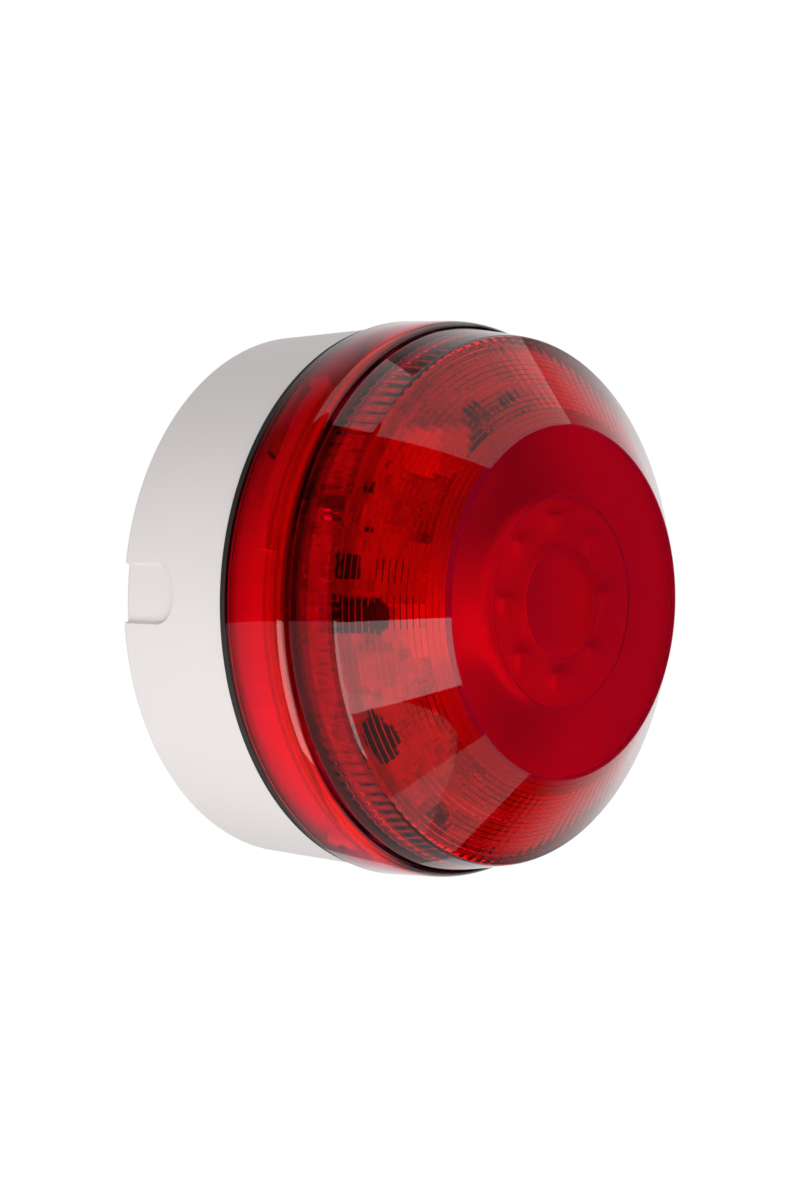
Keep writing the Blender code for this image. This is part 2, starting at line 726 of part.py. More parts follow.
def led(name, at, facing, finish):
    """A surface-mounted LED with a round well in its front. Facing turns its front from -Y."""
    size = (LED_LONG, LED_TALL, LED_WIDE)
    made = block(name, size, at, finish, facing, bevel=0.15 * MM)
    well = capped(
        f"{name}_well",
        [
            (0, LED_TALL / 2 - LED_WELL),
            (LED_WELL_R * 0.7, LED_TALL / 2 - LED_WELL),
            (LED_WELL_R, LED_TALL / 2 + LED_WELL * 0.2),
            (0, LED_TALL / 2 + LED_WELL * 0.2),
        ],
        at=at,
        steps=10,
    )
    well.rotation_euler = made.rotation_euler
    return cut(made, well)


def turret(board_finish, led_finish):
    """The LED turret: a six-sided board on end, a round board on top, and LEDs on both."""
    corner = 1 / math.cos(math.pi / TURRET_SIDES)
    outer = TURRET_APOTHEM * corner
    inner = (TURRET_APOTHEM - TURRET_WALL) * corner
    profile = [(inner, PART_REAR), (outer, PART_REAR), (outer, TURRET_TOP), (inner, TURRET_TOP)]
    column = turned("turret_board", profile, board_finish, steps=TURRET_SIDES)
    column.data.shade_flat()
    rod("top_board", TOP_BOARD_R, TOP_BOARD_REAR, TOP_BOARD_REAR + TOP_BOARD, finish=board_finish, steps=32)
    side_r = TURRET_APOTHEM + GAP + LED_TALL / 2
    for row, height in enumerate(SIDE_LED_ROWS, 1):
        for i in range(TURRET_SIDES):
            angle = 360 * (i + 0.5) / TURRET_SIDES
            at = on_ring(side_r, angle, PART_REAR + height)
            turn_out(led(f"side_led_{row}_{i + 1}", at, (0, 0, 0), led_finish), angle)
    for i in range(TOP_LEDS):
        angle = 360 * i / TOP_LEDS
        at = on_ring(TOP_LED_RING_R, angle, TOP_LED_REAR + LED_TALL / 2)
        led(f"top_led_{i + 1}", at, (0, math.radians(-angle - 90), 0), led_finish)
    rim = TOP_LED_REAR + CENTRE_OPTIC_RIM
    dome = TOP_LED_REAR + CENTRE_OPTIC_TALL
    edge = CENTRE_OPTIC_R
    optic = [(0, TOP_LED_REAR), (edge, TOP_LED_REAR), (edge, rim), (edge * 0.8, dome), (0, dome)]
    capped("centre_optic", optic, led_finish, steps=32)


def turn_out(made, angle):
    """Turns an LED and its well so that the front looks away from the axis."""
    turn = Matrix.Rotation(math.radians(-angle), 4, "Y") @ Matrix.Rotation(math.radians(90), 4, "Z")
    euler = turn.to_euler()
    made.rotation_euler = euler
    for modifier in made.modifiers:
        modifier.object.rotation_euler = euler


def standing_can(name, at, radius, tall, finish):
    """A radial capacitor that stands on the board, with a rolled groove near its foot."""
    foot = PART_REAR
    top = foot + tall
    groove = 0.25 * MM
    profile = [
        (0, foot),
        (radius, foot),
        (radius, foot + 1.0 * MM),
        (radius - groove, foot + 1.4 * MM),
        (radius, foot + 1.8 * MM),
        (radius, top - groove),
        (radius - groove, top),
        (0, top),
    ]
    return capped(name, profile, finish, (at[0], 0, at[1]), 24)


def on_board(name, at, size, finish, turn=0.0, bevel=0.25 * MM):
    """A box-shaped part on the main board. Size is x, depth, z."""
    centre = place(at[0], PART_REAR + size[1] / 2, at[1])
    return block(name, size, centre, finish, (0, math.radians(turn), 0), bevel)


def driver_chip(finish):
    """The driver chip, with its gull-wing leads as one body with it."""
    chip = on_board("driver_chip", DRIVER_AT, DRIVER_SIZE, finish, DRIVER_TURN)
    turn = Matrix.Rotation(math.radians(DRIVER_TURN), 3, "Y")
    for side in (-1, 1):
        for i in range(DRIVER_LEADS):
            along = (i - (DRIVER_LEADS - 1) / 2) * LEAD_PITCH
            out = side * (DRIVER_SIZE[2] / 2 + 0.4 * MM)
            offset = turn @ Vector((along, 0, out))
            centre = place(DRIVER_AT[0], PART_REAR + 0.45 * MM, DRIVER_AT[1]) + offset
            size = (0.5 * MM, 0.7 * MM, 1.4 * MM)
            lead = block(f"chip_lead_{side}_{i}", size, centre, turn=(0, math.radians(DRIVER_TURN), 0))
            join(chip, lead)
    return chip


def terminal_block(finish, screw_finish):
    """The wiring terminals: one block with a screw well and a wire mouth for each way."""
    housing = on_board("terminal_block", TERMINAL_AT, TERMINAL_SIZE, finish, bevel=0.4 * MM)
    top = PART_REAR + TERMINAL_SIZE[1]
    well_end = top - TERMINAL_WELL
    for i in range(TERMINAL_WAYS):
        z = TERMINAL_AT[1] + (i - (TERMINAL_WAYS - 1) / 2) * TERMINAL_PITCH
        x = TERMINAL_AT[0]
        well_r = TERMINAL_SCREW_R + GAP
        cut(housing, rod(f"terminal_well_{i}", well_r, well_end, top + 1 * MM, x, z, steps=16))
        mouth = (TERMINAL_SIZE[0], TERMINAL_MOUTH, TERMINAL_MOUTH)
        centre = place(x + TERMINAL_SIZE[0] * 0.7, PART_REAR + TERMINAL_MOUTH, z)
        cut(housing, block(f"terminal_mouth_{i}", mouth, centre))
        profile = [
            (0, well_end + GAP),
            (TERMINAL_SCREW_R, well_end + GAP),
            (TERMINAL_SCREW_R, top - 0.9 * MM),
            (0, top - 0.9 * MM),
        ]
        made = capped(f"terminal_screw_{i + 1}", profile, screw_finish, (x, 0, z), 16)
        groove = (SCREW_SLOT, 1.2 * MM, TERMINAL_SCREW_R * 3)
        cut(made, block(f"terminal_slot_{i}", groove, place(x, top - 0.9 * MM, z)))


def dip_switch(finish, knob_finish):
    """The mode switch: a housing with four wells, and a slider in each that travels along Z."""
    housing = on_board("mode_switch", DIP_AT, DIP_SIZE, finish, bevel=0.2 * MM)
    top = PART_REAR + DIP_SIZE[1]
    run = 0.15 * MM
    for i in range(DIP_WAYS):
        x = DIP_AT[0] + (i - (DIP_WAYS - 1) / 2) * DIP_PITCH
        well = (DIP_KNOB + 2 * run, DIP_SLOT * 2, DIP_KNOB + DIP_TRAVEL + 2 * run)
        cut(housing, block(f"mode_well_{i}", well, place(x, top, DIP_AT[1])))
        knob = (DIP_KNOB, DIP_KNOB_TALL, DIP_KNOB)
        z = DIP_AT[1] - DIP_TRAVEL / 2
        centre = place(x, top - DIP_SLOT + GAP + DIP_KNOB_TALL / 2, z)
        block(f"mode_slider_{i + 1}", knob, centre, knob_finish)


def trimmer(finish, rotor_finish):
    """The volume trimmer: a square body with a slotted rotor in its top."""
    body = on_board("volume_trimmer", TRIMMER_AT, TRIMMER_SIZE, finish, bevel=0.3 * MM)
    top = PART_REAR + TRIMMER_SIZE[1]
    x, z = TRIMMER_AT
    seat = top - TRIMMER_ROTOR
    cut(body, rod("trimmer_well", TRIMMER_ROTOR_R + GAP, seat, top + 1 * MM, x, z))
    rotor = rod("volume_rotor", TRIMMER_ROTOR_R, seat + GAP, top + 0.3 * MM, x, z, rotor_finish)
    length = TRIMMER_ROTOR_R * 3
    cut(rotor, block("rotor_slot", (length, 1.0 * MM, TRIMMER_SLOT), place(x, top + 0.3 * MM, z)))


def board_parts(black, can, grey):
    """The electronic parts that stand on the main board."""
    standing_can("reservoir_capacitor", CAPACITOR_AT, CAPACITOR_R, CAPACITOR_TALL, can)
    standing_can("filter_capacitor", SMALL_CAPACITOR_AT, SMALL_CAPACITOR_R, SMALL_CAPACITOR_TALL, can)
    on_board("rectifier", RECTIFIER_AT, RECTIFIER_SIZE, black)
    on_board("power_inductor", INDUCTOR_AT, INDUCTOR_SIZE, grey, bevel=0.8 * MM)
    on_board("horn_transformer", TRANSFORMER_AT, TRANSFORMER_SIZE, black, bevel=0.5 * MM)
    driver_chip(black)


def horn_leads(roof, red, black):
    """Two leads from the horn's case through the deck to the underside of the board."""
    for side, name, finish in ((-1, "red", red), (1, "black", black)):
        x = side * LEAD_OFFSET
        route = [
            place(x, roof - HORN_CASE_WALL, HORN_Z),
            place(x, roof + 3 * MM, HORN_Z),
            place(x, roof + 7 * MM, (HORN_Z + WIRE_HOLE_Z) / 2),
            place(x, DECK_REAR - 1 * MM, WIRE_HOLE_Z),
            place(x, BOARD_REAR - GAP, WIRE_HOLE_Z),
        ]
        tube(f"horn_lead_{name}", route, LEAD_R, finish)


def main():
    """Clears the scene and builds every part."""
    for item in list(bpy.data.objects):
        bpy.data.objects.remove(item)
    white = material("white_plastic", (0.78, 0.76, 0.75), 0.45)
    board_white = material("board_white", (0.82, 0.82, 0.78), 0.5)
    red_lens = material("red_lens", (0.75, 0.0, 0.02), 0.05, transmission=1.0)
    rubber = material("black_rubber", (0.03, 0.03, 0.03), 0.7)
    black = material("black_plastic", (0.02, 0.02, 0.02), 0.5)
    can = material("capacitor_sleeve", (0.03, 0.03, 0.05), 0.35)
    grey = material("ferrite", (0.12, 0.12, 0.13), 0.6)
    steel = material("steel", (0.6, 0.6, 0.6), 0.35, 1.0)
    brass = material("brass", (0.75, 0.55, 0.2), 0.35, 1.0)
    green = material("terminal_green", (0.05, 0.3, 0.12), 0.5)
    blue = material("switch_blue", (0.03, 0.12, 0.45), 0.45)
    led_white = material("led_body", (0.85, 0.83, 0.7), 0.4)
    red_wire = material("red_wire", (0.5, 0.02, 0.02), 0.5)

    mounting_base(white)
    cable_grommet(rubber)
    roof = horn(black, black, brass)
    horn_leads(roof, red_wire, rubber)
    chassis(white)
    main_board(board_white)
    screws(steel)
    board_parts(black, can, grey)
    terminal_block(green, steel)
    dip_switch(blue, white)
    trimmer(blue, white)
    turret(board_white, led_white)
    seal_ring(rubber)
    lens(red_lens)


main()
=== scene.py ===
"""Looks of a round wall-mounted horn strobe: red fluted lens, white drum base, LED board and studio.

The wall is the plane y = 0, the strobe faces -Y and +Z is up. Each sub-assembly is a class that
holds its sizes in metres, builds its meshes in place and dresses them. "Depth" is the distance from
the wall along -Y.
"""

import logging
import math
from dataclasses import dataclass, field
from enum import Enum
from typing import Iterable, Sequence

import bmesh
import bpy
import numpy as np
from mathutils import Euler, Matrix, Vector


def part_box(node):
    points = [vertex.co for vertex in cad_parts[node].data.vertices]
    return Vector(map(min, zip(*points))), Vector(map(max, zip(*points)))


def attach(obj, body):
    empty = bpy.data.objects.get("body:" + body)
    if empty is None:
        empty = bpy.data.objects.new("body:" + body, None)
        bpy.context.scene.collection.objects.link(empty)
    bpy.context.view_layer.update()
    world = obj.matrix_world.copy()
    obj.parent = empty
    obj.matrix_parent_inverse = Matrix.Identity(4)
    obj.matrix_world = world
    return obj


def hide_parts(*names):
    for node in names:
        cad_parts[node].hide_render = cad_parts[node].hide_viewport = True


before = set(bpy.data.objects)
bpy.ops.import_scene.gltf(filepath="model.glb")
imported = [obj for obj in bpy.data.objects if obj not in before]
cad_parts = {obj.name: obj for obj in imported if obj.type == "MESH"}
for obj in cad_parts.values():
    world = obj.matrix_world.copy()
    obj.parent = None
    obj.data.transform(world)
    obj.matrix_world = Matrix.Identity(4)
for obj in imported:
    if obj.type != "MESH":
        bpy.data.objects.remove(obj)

MM = 0.001
LOG = logging.getLogger("horn_strobe")

Colour = tuple[float, float, float]
Profile = list[tuple[float, float]]


# ------------------------------------------------------------------------------------------------
# Small helpers: places, boxes and meshes
# ------------------------------------------------------------------------------------------------


class Body(Enum):
    """Bodies that pieces ride on."""

    BASE = "base"
    SEAL = "seal"
    LENS = "lens"


def depth_range(node: str) -> tuple[float, float]:
    """Where a frame node starts and ends in front of the wall.

    Args:
        node: Name of a frame node.

    Returns:
        Its rear and its front depth.
    """
    low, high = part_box(node)
    return -high[1], -low[1]


def outer_radius(node: str) -> float:
    """Half of a round frame node's width."""
    low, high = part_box(node)
    return (high[0] - low[0]) / 2


def centre_of(node: str) -> Vector:
    """Centre of a frame node's box."""
    low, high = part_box(node)
    return (Vector(low) + Vector(high)) / 2


def on_ring(radius: float, degrees: float, depth: float) -> Vector:
    """A point on a ring about the strobe's axis.

    Args:
        radius: Radius of the ring.
        degrees: Angle from +X, anticlockwise as seen from the room.
        depth: Distance from the wall.

    Returns:
        The point.
    """
    angle = math.radians(degrees)
    return Vector((radius * math.cos(angle), -depth, radius * math.sin(angle)))


def arc(centre: tuple[float, float], radius: float, start: float, end: float, steps: int) -> Profile:
    """Points on an arc in a (radius, depth) profile.

    Args:
        centre: Centre of the arc.
        radius: Radius of the arc.
        start: First angle in degrees, from the outward direction towards the front.
        end: Last angle in degrees.
        steps: Number of straight steps.

    Returns:
        The points, both ends included.
    """
    angles = [math.radians(start + (end - start) * i / steps) for i in range(steps + 1)]
    return [(centre[0] + radius * math.cos(a), centre[1] + radius * math.sin(a)) for a in angles]


def smoothstep(low: float, high: float, value: np.ndarray) -> np.ndarray:
    """A soft step from 0 at low to 1 at high."""
    t = np.clip((value - low) / (high - low), 0.0, 1.0)
    return t * t * (3 - 2 * t)


def direction(azimuth: float, elevation: float) -> Vector:
    """Direction from the strobe to something in the studio.

    Args:
        azimuth: Degrees from straight ahead of the strobe, towards +X.
        elevation: Degrees above level.

    Returns:
        A unit vector.
    """
    turn, tilt = math.radians(azimuth), math.radians(elevation)
    return Vector((math.sin(turn) * math.cos(tilt), -math.cos(turn) * math.cos(tilt), math.sin(tilt)))


def put(name: str, data: bpy.types.ID) -> bpy.types.Object:
    """Puts an object with that data into the scene."""
    made = bpy.data.objects.new(name, data)
    bpy.context.scene.collection.objects.link(made)
    return made


def bake(made: bpy.types.Object) -> bpy.types.Mesh:
    """Replaces an object's modifiers with the mesh that they make, and returns it."""
    bpy.context.view_layer.update()
    graph = bpy.context.evaluated_depsgraph_get()
    mesh = bpy.data.meshes.new_from_object(made.evaluated_get(graph))
    made.modifiers.clear()
    made.data = mesh
    return mesh


def ring_points(radius: float | np.ndarray, depth: float | np.ndarray, angles: np.ndarray) -> np.ndarray:
    """Points of one ring.

    Args:
        radius: Radius, or one for each angle.
        depth: Depth, or one for each angle.
        angles: Angles in radians.

    Returns:
        An array of points.
    """
    x = radius * np.cos(angles)
    z = radius * np.sin(angles)
    y = -depth * np.ones_like(angles)
    return np.stack([x, y, z], axis=1)


def add_loft(shape: bmesh.types.BMesh, rings: Iterable[Iterable[Sequence[float]]]) -> None:
    """Adds a closed solid that runs through rings of equally many points.

    Args:
        shape: The bmesh to add to.
        rings: The rings, in order.
    """
    rows = [[shape.verts.new(point) for point in ring] for ring in rings]
    for low, high in zip(rows, rows[1:]):
        for i in range(len(low)):
            shape.faces.new((low[i - 1], low[i], high[i], high[i - 1]))
    shape.faces.new(rows[0])
    shape.faces.new(rows[-1][::-1])


class MeshBuilder:
    """Makes mesh objects that sit at the origin, with their place in their mesh."""

    @staticmethod
    def from_bmesh(
        name: str,
        shape: bmesh.types.BMesh,
        material: bpy.types.Material,
        sharp: float = 30.0,
    ) -> bpy.types.Object:
        """Turns a bmesh into an object with outward normals.

        Args:
            name: Name of the object.
            shape: The bmesh, which is freed.
            material: Its material.
            sharp: Angle in degrees past which an edge stays sharp.

        Returns:
            The object.
        """
        bmesh.ops.remove_doubles(shape, verts=shape.verts, dist=1e-7)
        bmesh.ops.recalc_face_normals(shape, faces=shape.faces)
        mesh = bpy.data.meshes.new(name)
        shape.to_mesh(mesh)
        shape.free()
        mesh.shade_smooth()
        mesh.set_sharp_from_angle(angle=math.radians(sharp))
        mesh.materials.append(material)
        return put(name, mesh)

    @staticmethod
    def combine(target: bpy.types.Object, others: Iterable[bpy.types.Object], operation: str) -> None:
        """Joins other solids to a solid, or cuts them from it, and removes them.

        Args:
            target: The solid to change.
            others: The other solids.
            operation: UNION or DIFFERENCE.
        """
        for other in others:
            change = target.modifiers.new("combine", "BOOLEAN")
            change.operation = operation
            change.solver = "EXACT"
            change.object = other
            bake(target)
            bpy.data.objects.remove(other)

    @classmethod
    def revolved_grid(
        cls,
        name: str,
        rings: np.ndarray,
        material: bpy.types.Material,
        sharp: float = 30.0,
        frosted: Sequence[float] = (),
    ) -> bpy.types.Object:
        """A closed solid from rings of points about the strobe's axis.

        Args:
            name: Name of the object.
            rings: Points as an array of rings, angles and coordinates. The first and the last ring
                may lie on the axis.
            material: Its material.
            sharp: Angle in degrees past which an edge stays sharp.
            frosted: How frosted each ring is, if the material reads it.

        Returns:
            The object.
        """
        shape = bmesh.new()
        frost = shape.verts.layers.float.new("frost") if len(frosted) else None
        columns = rings.shape[1]
        rows: list[list[bmesh.types.BMVert]] = []
        for ring in rings:
            if np.ptp(ring, axis=0).max() < 1e-9:
                rows.append([shape.verts.new(ring[0])] * columns)
            else:
                rows.append([shape.verts.new(point) for point in ring])
        for row, amount in zip(rows, frosted):
            for vertex in row:
                vertex[frost] = amount
        for low, high in zip(rows, rows[1:]):
            for i in range(columns):
                j = (i + 1) % columns
                corners = list(dict.fromkeys((low[i], low[j], high[j], high[i])))
                if len(corners) > 2:
                    shape.faces.new(corners)
        if rows[0][0] is not rows[0][1] and rows[-1][0] is not rows[-1][1]:
            for i in range(columns):
                j = (i + 1) % columns
                shape.faces.new((rows[-1][i], rows[-1][j], rows[0][j], rows[0][i]))
        return cls.from_bmesh(name, shape, material, sharp)

    @classmethod
    def turned(
        cls, name: str, profile: Profile, material: bpy.types.Material, steps: int = 256
    ) -> bpy.types.Object:
        """A plain solid of revolution about the strobe's axis.

        Args:
            name: Name of the object.
            profile: Points as (radius, depth).
            material: Its material.
            steps: Number of facets round the axis.

        Returns:
            The object.
        """
        angles = np.arange(steps) * math.tau / steps
        rings = np.stack([ring_points(radius, depth, angles) for radius, depth in profile])
        return cls.revolved_grid(name, rings, material)


# ------------------------------------------------------------------------------------------------
# Shader groups and finishes
# ------------------------------------------------------------------------------------------------


class NodeBuilder:
    """Short ways to add to a node tree."""

    def __init__(self, tree: bpy.types.NodeTree) -> None:
        """Starts from a tree, which may hold nodes already."""
        self.tree = tree

    def node(self, kind: str, **settings: object) -> bpy.types.Node:
        """Adds a node and sets its properties."""
        made = self.tree.nodes.new(kind)
        for key, value in settings.items():
            setattr(made, key, value)
        return made

    def link(self, source: bpy.types.NodeSocket, target: bpy.types.NodeSocket) -> None:
        """Joins two sockets."""
        self.tree.links.new(source, target)

    def feed(self, target: bpy.types.NodeSocket, value: object) -> None:
        """Gives an input a socket to read, a number or a colour."""
        if isinstance(value, bpy.types.NodeSocket):
            self.link(value, target)
        else:
            target.default_value = (*value, 1.0) if isinstance(value, tuple) else value

    def feed_named(self, node: bpy.types.Node, **values: object) -> None:
        """Feeds a node's inputs by name, with _ for a space."""
        for key, value in values.items():
            self.feed(node.inputs[key.replace("_", " ")], value)

    def math(self, operation: str, a: object, b: object = 0.0, c: object = 0.0) -> bpy.types.NodeSocket:
        """Adds a Math node.

        Args:
            operation: Its operation.
            a: A socket or a number.
            b: A socket or a number.
            c: A socket or a number.

        Returns:
            The result's socket.
        """
        made = self.node("ShaderNodeMath", operation=operation)
        for socket, value in zip(made.inputs, (a, b, c)):
            self.feed(socket, value)
        return made.outputs[0]

    def mix(self, factor: bpy.types.NodeSocket, a: object, b: object) -> bpy.types.NodeSocket:
        """Adds a colour mix.

        Args:
            factor: Share of the second colour.
            a: A socket or a colour.
            b: A socket or a colour.

        Returns:
            The result's socket.
        """
        made = self.node("ShaderNodeMix", data_type="RGBA")
        for key, value in (("Factor", factor), (6, a), (7, b)):
            self.feed(made.inputs[key], value)
        return made.outputs[2]


class Shader(NodeBuilder):
    """A material's node tree with its Principled BSDF."""

    def __init__(self, name: str) -> None:
        """Makes a new material of that name."""
        self.material = bpy.data.materials.new(name)
        self.material.use_nodes = True
        super().__init__(self.material.node_tree)
        self.principled = self.tree.nodes["Principled BSDF"]
        self.output = self.tree.nodes["Material Output"]

    def group(self, tree: bpy.types.NodeTree, **values: object) -> bpy.types.NodeOutputs:
        """Places a node group.

        Args:
            tree: The group.
            **values: Sockets, numbers or colours by input name, with _ for a space.

        Returns:
            The group's outputs.
        """
        made = self.node("ShaderNodeGroup", node_tree=tree)
        self.feed_named(made, **values)
        return made.outputs

    def surface(self, **values: object) -> None:
        """Feeds the Principled BSDF, with _ for a space in a socket's name."""
        self.feed_named(self.principled, **values)


class GroupTree(NodeBuilder):
    """A shader node group under construction."""

    def __init__(self, name: str, inputs: dict[str, float | Colour], outputs: dict[str, str]) -> None:
        """Makes a group that has its sockets and nothing between them.

        Args:
            name: Name of the group.
            inputs: Default of each input.
            outputs: Kind of each output: Float, Color or Vector.
        """
        super().__init__(bpy.data.node_groups.new(name, "ShaderNodeTree"))
        for label, default in inputs.items():
            kind = "NodeSocketColor" if isinstance(default, tuple) else "NodeSocketFloat"
            socket = self.tree.interface.new_socket(label, in_out="INPUT", socket_type=kind)
            self.feed(socket, default)
        for label, kind in outputs.items():
            self.tree.interface.new_socket(label, in_out="OUTPUT", socket_type="NodeSocket" + kind)
        self.given = self.node("NodeGroupInput").outputs
        self.result = self.node("NodeGroupOutput").inputs


def moulded_surface_group() -> bpy.types.NodeTree:
    """The surface of a moulded part: fine grain, slow waves, faint tint changes and dust specks.

    Returns:
        A group with the outputs Color, Roughness and Normal.
    """
    g = GroupTree(
        "MouldedSurface",
        {
            "Color": (0.8, 0.8, 0.8),
            "Dust Color": (0.5, 0.48, 0.45),
            "Roughness": 0.4,
            "Roughness Spread": 0.08,
            "Grain Size": 0.25 * MM,
            "Grain Height": 0.004 * MM,
            "Wave Height": 0.01 * MM,
            "Tint Spread": 0.03,
            "Dust": 0.1,
        },
        {"Color": "Color", "Roughness": "Float", "Normal": "Vector"},
    )
    wave_length, speck_spacing = 14 * MM, 4.5 * MM
    place = g.node("ShaderNodeTexCoord").outputs["Object"]
    fine = g.node("ShaderNodeTexNoise", noise_dimensions="3D")
    g.feed_named(fine, Vector=place, Scale=g.math("DIVIDE", 1.0, g.given["Grain Size"]), Detail=3.0)
    slow = g.node("ShaderNodeTexNoise", noise_dimensions="3D")
    g.feed_named(slow, Vector=place, Scale=1 / wave_length, Detail=2.0)
    specks = g.node("ShaderNodeTexVoronoi", feature="F1")
    g.feed_named(specks, Vector=place, Scale=1 / speck_spacing, Randomness=1.0)
    chosen = g.node("ShaderNodeSeparateColor")
    g.link(specks.outputs["Color"], chosen.inputs["Color"])
    size = g.math("MULTIPLY_ADD", chosen.outputs["Red"], 0.03, 0.008)
    speck = g.math("LESS_THAN", specks.outputs["Distance"], size)
    rare = g.math("LESS_THAN", chosen.outputs["Green"], g.given["Dust"])
    dust = g.math("MULTIPLY", speck, rare)
    shade = g.math("SUBTRACT", slow.outputs["Fac"], 0.5)
    scaled = g.node("ShaderNodeVectorMath", operation="SCALE")
    g.link(g.given["Color"], scaled.inputs[0])
    g.link(g.math("MULTIPLY_ADD", shade, g.given["Tint Spread"], 1.0), scaled.inputs["Scale"])
    g.link(g.mix(dust, scaled.outputs[0], g.given["Dust Color"]), g.result["Color"])
    rough = g.math("SUBTRACT", fine.outputs["Fac"], 0.5)
    rough = g.math("MULTIPLY_ADD", rough, g.given["Roughness Spread"], g.given["Roughness"])
    g.link(g.math("MAXIMUM", rough, g.math("MULTIPLY", dust, 0.7)), g.result["Roughness"])
    height = g.math("MULTIPLY", fine.outputs["Fac"], g.given["Grain Height"])
    waves = g.math("MULTIPLY", slow.outputs["Fac"], g.given["Wave Height"])
    bump = g.node("ShaderNodeBump")
    g.feed_named(bump, Strength=1.0, Distance=1.0, Height=g.math("ADD", height, waves))
    g.link(bump.outputs["Normal"], g.result["Normal"])
    return g.tree


@dataclass(frozen=True)
class MouldedFinish:
    """An opaque moulded, painted or coated surface."""

    name: str
    colour: Colour
    roughness: float = 0.45
    spread: float = 0.1
    grain: float = 0.25 * MM
    grain_height: float = 0.004 * MM
    wave_height: float = 0.01 * MM
    tint_spread: float = 0.03
    dust: float = 0.05
    metallic: float = 0.0
    ior: float = 1.5

    def build(self, group: bpy.types.NodeTree) -> bpy.types.Material:
        """Makes the material.

        Args:
            group: The moulded-surface group.

        Returns:
            The material.
        """
        s = Shader(self.name)
        skin = s.group(
            group,
            Color=self.colour,
            Roughness=self.roughness,
            Roughness_Spread=self.spread,
            Grain_Size=self.grain,
            Grain_Height=self.grain_height,
            Wave_Height=self.wave_height,
            Tint_Spread=self.tint_spread,
            Dust=self.dust,
        )
        s.surface(Base_Color=skin["Color"], Roughness=skin["Roughness"], Normal=skin["Normal"])
        s.surface(Metallic=self.metallic, IOR=self.ior)
        return s.material


def board_layout_group() -> bpy.types.NodeTree:
    """Copper areas and traces under a solder mask, as blocks of a slightly other shade.

    Returns:
        A group with the output Mask.
    """
    g = GroupTree("BoardLayout", {"Block Size": 3.2 * MM, "Share": 0.3}, {"Mask": "Float"})
    blocks = g.node("ShaderNodeTexVoronoi", feature="F1", distance="CHEBYCHEV")
    place = g.node("ShaderNodeTexCoord").outputs["Object"]
    g.feed_named(blocks, Vector=place, Scale=g.math("DIVIDE", 1.0, g.given["Block Size"]), Randomness=0.55)
    split = g.node("ShaderNodeSeparateColor")
    g.link(blocks.outputs["Color"], split.inputs["Color"])
    chosen = g.math("LESS_THAN", split.outputs["Red"], g.given["Share"])
    core = g.math("LESS_THAN", blocks.outputs["Distance"], 0.34)
    hollow = g.math("GREATER_THAN", blocks.outputs["Distance"], 0.24)
    outline = g.math("MULTIPLY", core, hollow)
    solid = g.math("MULTIPLY", core, g.math("GREATER_THAN", split.outputs["Green"], 0.6))
    g.link(g.math("MULTIPLY", chosen, g.math("MAXIMUM", outline, solid)), g.result["Mask"])
    return g.tree


@dataclass(frozen=True)
class SolderMaskFinish:
    """White solder mask with the copper below it showing through faintly."""

    name: str = "white_solder_mask"
    colour: Colour = (0.92, 0.90, 0.86)
    copper: Colour = (0.62, 0.50, 0.38)
    trace_height: float = 0.03 * MM

    def build(self, surface: bpy.types.NodeTree, layout: bpy.types.NodeTree) -> bpy.types.Material:
        """Makes the material.

        Args:
            surface: The moulded-surface group.
            layout: The board-layout group.

        Returns:
            The material.
        """
        s = Shader(self.name)
        skin = s.group(surface, Color=self.colour, Roughness=0.32, Grain_Height=0.002 * MM, Dust=0.1)
        traces = s.group(layout)["Mask"]
        bump = s.node("ShaderNodeBump")
        s.feed_named(bump, Distance=self.trace_height, Height=traces, Normal=skin["Normal"])
        s.surface(Base_Color=s.mix(traces, skin["Color"], self.copper))
        s.surface(Roughness=skin["Roughness"], Normal=bump.outputs["Normal"])
        return s.material


